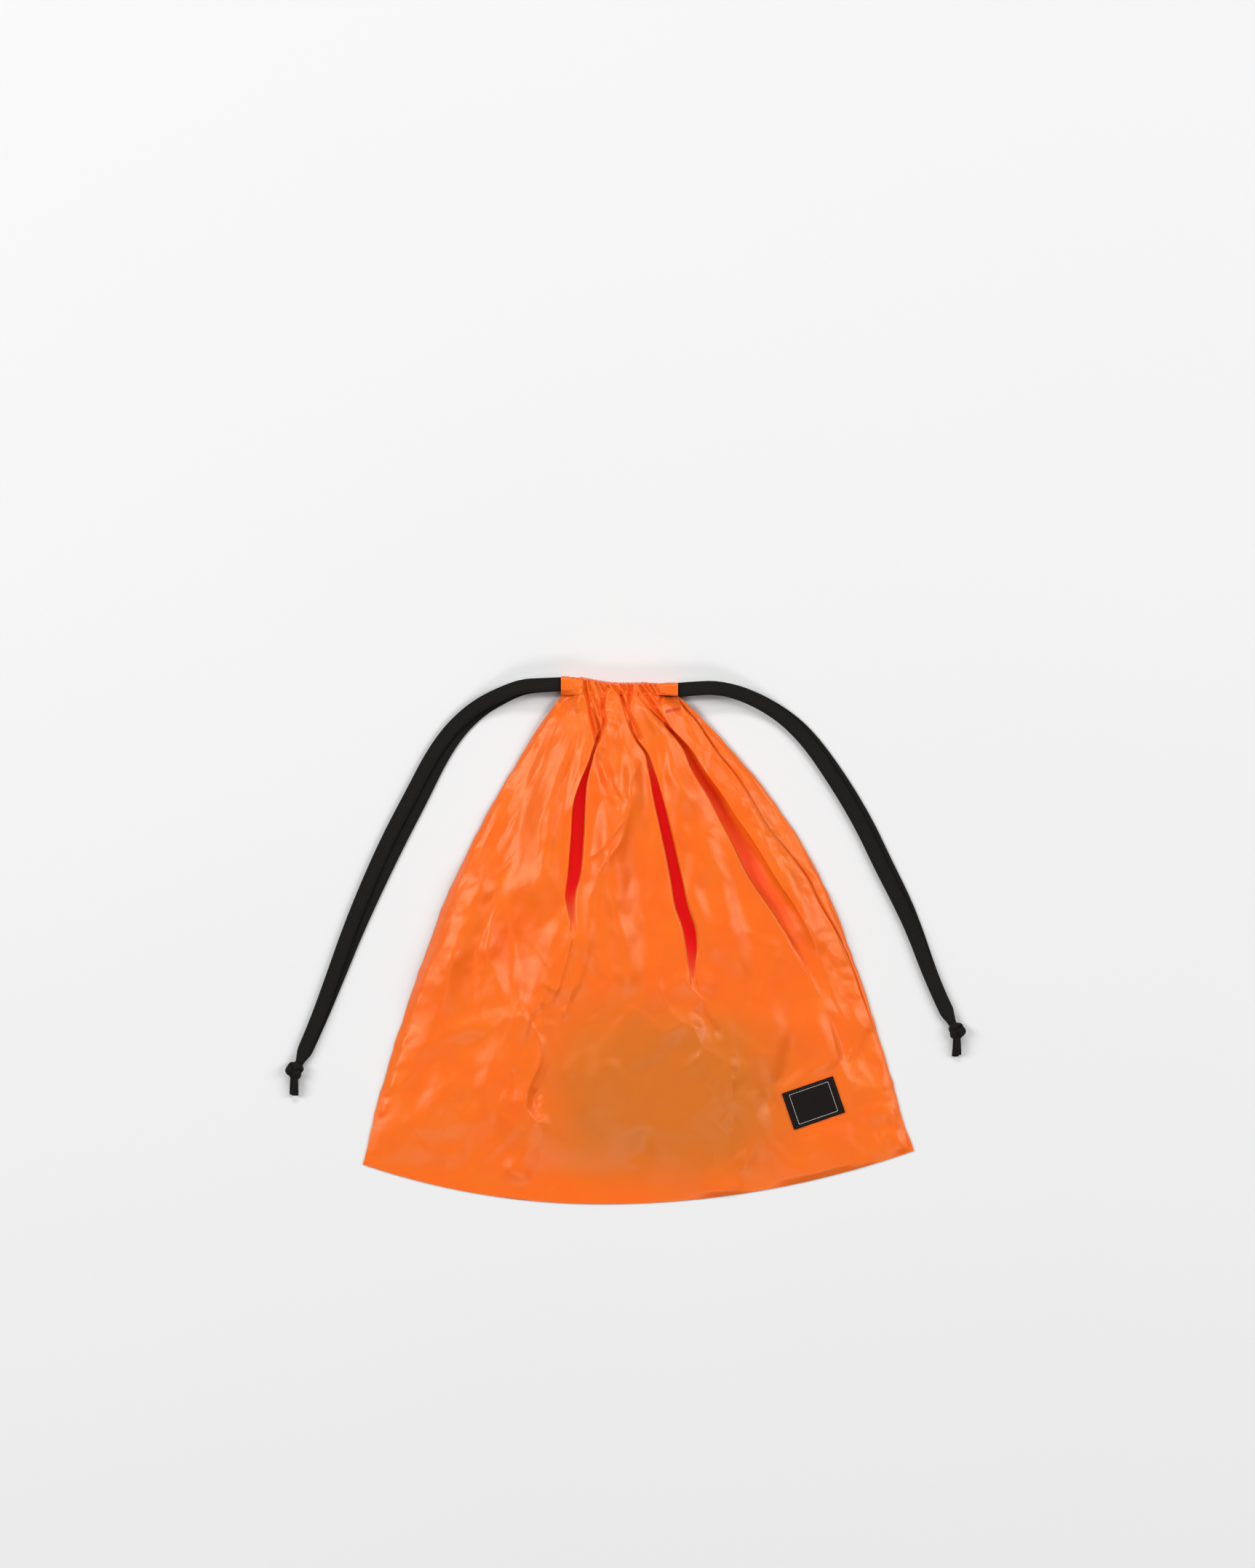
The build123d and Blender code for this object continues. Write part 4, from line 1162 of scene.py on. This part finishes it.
label_us = np.linspace(-0.5, 0.5, 61) * label_size[0]
label_vs = np.linspace(-0.5, 0.5, 45) * label_size[1]
label_fit, label_lift = fit_label()


def label_underside(u, v):
    """The height of the slightly wavy label's underside above the floor."""
    wave = 0.00018 * math.sin(u * 420 + 1) * math.sin(v * 350)
    return float(np.dot(label_fit, (1, u, v, u * u, u * v, v * v))) + label_lift + wave


def label_mesh():
    """The label, a woven patch whose surface follows the cloth's broad shape."""
    top, bottom = [], []
    for v in label_vs:
        for u in label_us:
            edge = 0.00025 * max(0, abs(v) / label_size[1] * 2 - 0.9) * math.sin(u * 900)
            x, y = label_point(u, v + edge)
            z = label_underside(u, v)
            outwards = max(abs(u) / label_size[0], abs(v) / label_size[1]) * 2
            rounding = 0.0002 * smoothstep(0.94, 1.0, outwards)
            top.append((x, y, z + label_thickness - rounding))
            bottom.append((x, y, z))
    rows, n, count = len(label_vs), len(label_us), len(top)
    faces = grid_faces(rows, n)
    faces += [[i + count for i in face] for face in grid_faces(rows, n, turned=True)]
    lower, right = range(n), range(2 * n - 1, count, n)
    upper, left = range(count - 2, count - n - 1, -1), range(count - 2 * n, 0, -n)
    ring = [*lower, *right, *upper, *left]
    for i, j in zip(ring, ring[1:] + ring[:1]):
        faces.append([j, i, i + count, j + count])
    return new_object("woven_label_patch", top + bottom, faces, woven)


label = label_mesh()


def stitch_mesh(name, places, material, thickness):
    """Short rounded stitches, each given by its two ends."""
    vertices, faces = [], []
    rings, sides = 6, 8
    for start, end in places:
        start, end = np.array(start), np.array(end)
        along = (end - start) / np.linalg.norm(end - start)
        side = np.cross(along, (0, 0, 1))
        side /= np.linalg.norm(side)
        up = np.cross(side, along)
        base = len(vertices)
        for s in np.linspace(0, 1, rings):
            swell = math.sin(math.pi * (0.08 + 0.84 * s)) ** 0.5
            middle = start + (end - start) * s + up * (swell - 1) * thickness * 0.5
            for k in range(sides):
                turn = 2 * math.pi * k / sides
                outwards = math.cos(turn) * side + math.sin(turn) * up
                vertices.append(middle + swell * thickness / 2 * outwards)
        for ring in range(base, base + (rings - 1) * sides, sides):
            for k in range(sides):
                j = (k + 1) % sides
                faces.append([ring + k, ring + j, ring + sides + j, ring + sides + k])
        faces.append([base + k for k in range(sides - 1, -1, -1)])
        faces.append([base + (rings - 1) * sides + k for k in range(sides)])
    return new_object(name, vertices, faces, material)


def label_stitch_row(inset_u, inset_v, length, pitch, lift):
    """Stitches round the label, a set distance in from its edges."""
    half_u, half_v = label_size[0] / 2 - inset_u, label_size[1] / 2 - inset_v
    corners = [(-half_u, -half_v), (half_u, -half_v), (half_u, half_v), (-half_u, half_v)]
    places = []
    for (u1, v1), (u2, v2) in zip(corners, corners[1:] + corners[:1]):
        run = math.hypot(u2 - u1, v2 - v1)
        number = round(run / pitch)
        for i in range(number):
            ends = []
            for s in (i + 0.5 - length / pitch / 2, i + 0.5 + length / pitch / 2):
                u, v = u1 + (u2 - u1) * s / number, v1 + (v2 - v1) * s / number
                ends.append((*label_point(u, v), label_underside(u, v) + label_thickness + lift))
            places.append(ends)
    return places


label_edge_stitches = stitch_mesh(
    "label_edge_stitches", label_stitch_row(0.0013, 0.0013, 0.0013, 0.0020, 0.0001), black_thread, 0.00035
)
label_frame_line = stitch_mesh(
    "label_frame_line", label_stitch_row(0.0045, 0.0026, 0.00085, 0.0011, 0.00004), white_thread, 0.0004
)


def row_of_stitches(points, length, pitch, lift):
    """Stitches that follow the front cloth along given points (x, y)."""
    line = eased_points(points, 40)
    travel = distance_along(line)
    places = []
    for start in np.arange(pitch / 2, travel[-1] - length, pitch):
        ends = []
        for s in (start, start + length):
            x, y = np.interp(s, travel, line[:, 0]), np.interp(s, travel, line[:, 1])
            ends.append((x, y, height_at(x, y) + lift))
        places.append(ends)
    return places


def casing_row(low_x, high_x):
    """Stitches that close the casing, between two places across it."""
    points = [(x, casing_y + 0.0004) for x in np.linspace(low_x, high_x, 9)]
    return row_of_stitches(points, 0.0016, 0.0024, 0.00005)


def tack(x, y, angle):
    """A dense bar of crosswise stitches about a place on the front cloth."""
    places = []
    for along in np.linspace(-0.5, 0.5, tack_stitches) * tack_length:
        cx, cy = x + along * math.cos(angle), y + along * math.sin(angle)
        ends = []
        for aside in (-tack_width / 2, tack_width / 2):
            sx, sy = cx - aside * math.sin(angle) + aside * 0.3, cy + aside * math.cos(angle)
            ends.append((sx, sy, height_at(sx, sy) + 0.0001))
        places.append(ends)
    return places


for piece, slot, nodes in (
    (label, "label_weave", ["label"]), (label_edge_stitches, "label_thread", ["label_stitches"]),
    (label_frame_line, "label_thread", []),
):
    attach(piece, "sack")
    if nodes:
        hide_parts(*nodes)

inset = 0.003  # from the sleeve's end to the first stitch
on_cloth = {"left": [], "right": [label, label_edge_stitches, label_frame_line]}
for side, name, places, thread, thickness, nodes in (
    ("left", "sleeve_stitch_row", casing_row(collar_left + inset, gather_left),
     orange_thread, 0.0003, ["left_sleeve_stitches"]),
    ("right", "sleeve_stitch_row", casing_row(gather_right, collar_right - inset),
     orange_thread, 0.0004, ["right_sleeve_stitches"]),
    ("left", "casing_stitch_row", casing_row(gather_left, collar_mid_x),
     orange_thread, 0.0004, ["front_casing_stitches", "back_casing_stitches"]),
    ("right", "casing_stitch_row", casing_row(collar_mid_x, gather_right), orange_thread, 0.0004, []),
    ("left", "tack_stitches", tack(-0.0455, 0.1588, -tack_slope), orange_thread, 0.0002, ["left_bar_tack"]),
    ("right", "tack_stitches", tack(0.0238, 0.1585, tack_slope), red_thread, 0.0004, ["right_bar_tack"]),
):
    piece = stitch_mesh(f"{side}_{name}", places, thread, thickness)
    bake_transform(piece)
    if nodes:
        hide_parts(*nodes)
    on_cloth[side].append(piece)

# ---------------------------------------------------------------- floor and light
floor_half = 6.0
floor_corners = [(floor_half * i, floor_half * j, 0) for i, j in ((-1, -1), (1, -1), (1, 1), (-1, 1))]
floor = new_object("floor", floor_corners, [(0, 1, 2, 3)], floor_material())


def area_light(name, place, size, power):
    """A rectangular soft light that faces the middle of the sack."""
    data = bpy.data.lights.new(name, "AREA")
    data.shape = "RECTANGLE"
    data.size, data.size_y = size
    data.energy = power
    light = bpy.data.objects.new(name, data)
    light.location = place
    light.rotation_euler = (Vector((0, 0, 0)) - Vector(place)).to_track_quat("-Z", "Y").to_euler()
    bpy.context.scene.collection.objects.link(light)


area_light("left_softbox", (-2.6, 0.8, 2.4), (0.8, 2.0), 84)
area_light("right_softbox", (2.5, 0.8, 2.4), (0.7, 2.0), 66)
area_light("top_softbox", (-0.1, 2.6, 2.4), (2.0, 0.6), 42)
area_light("bottom_softbox", (0.2, -2.6, 3.0), (2.0, 1.0), 35)
world = bpy.data.worlds.new("studio")
world.use_nodes = True
world.node_tree.nodes["Background"].inputs["Color"].default_value = (1, 1, 1, 1)
world.node_tree.nodes["Background"].inputs["Strength"].default_value = 0.19
bpy.context.scene.world = world
bpy.context.scene.view_settings.view_transform = "Standard"
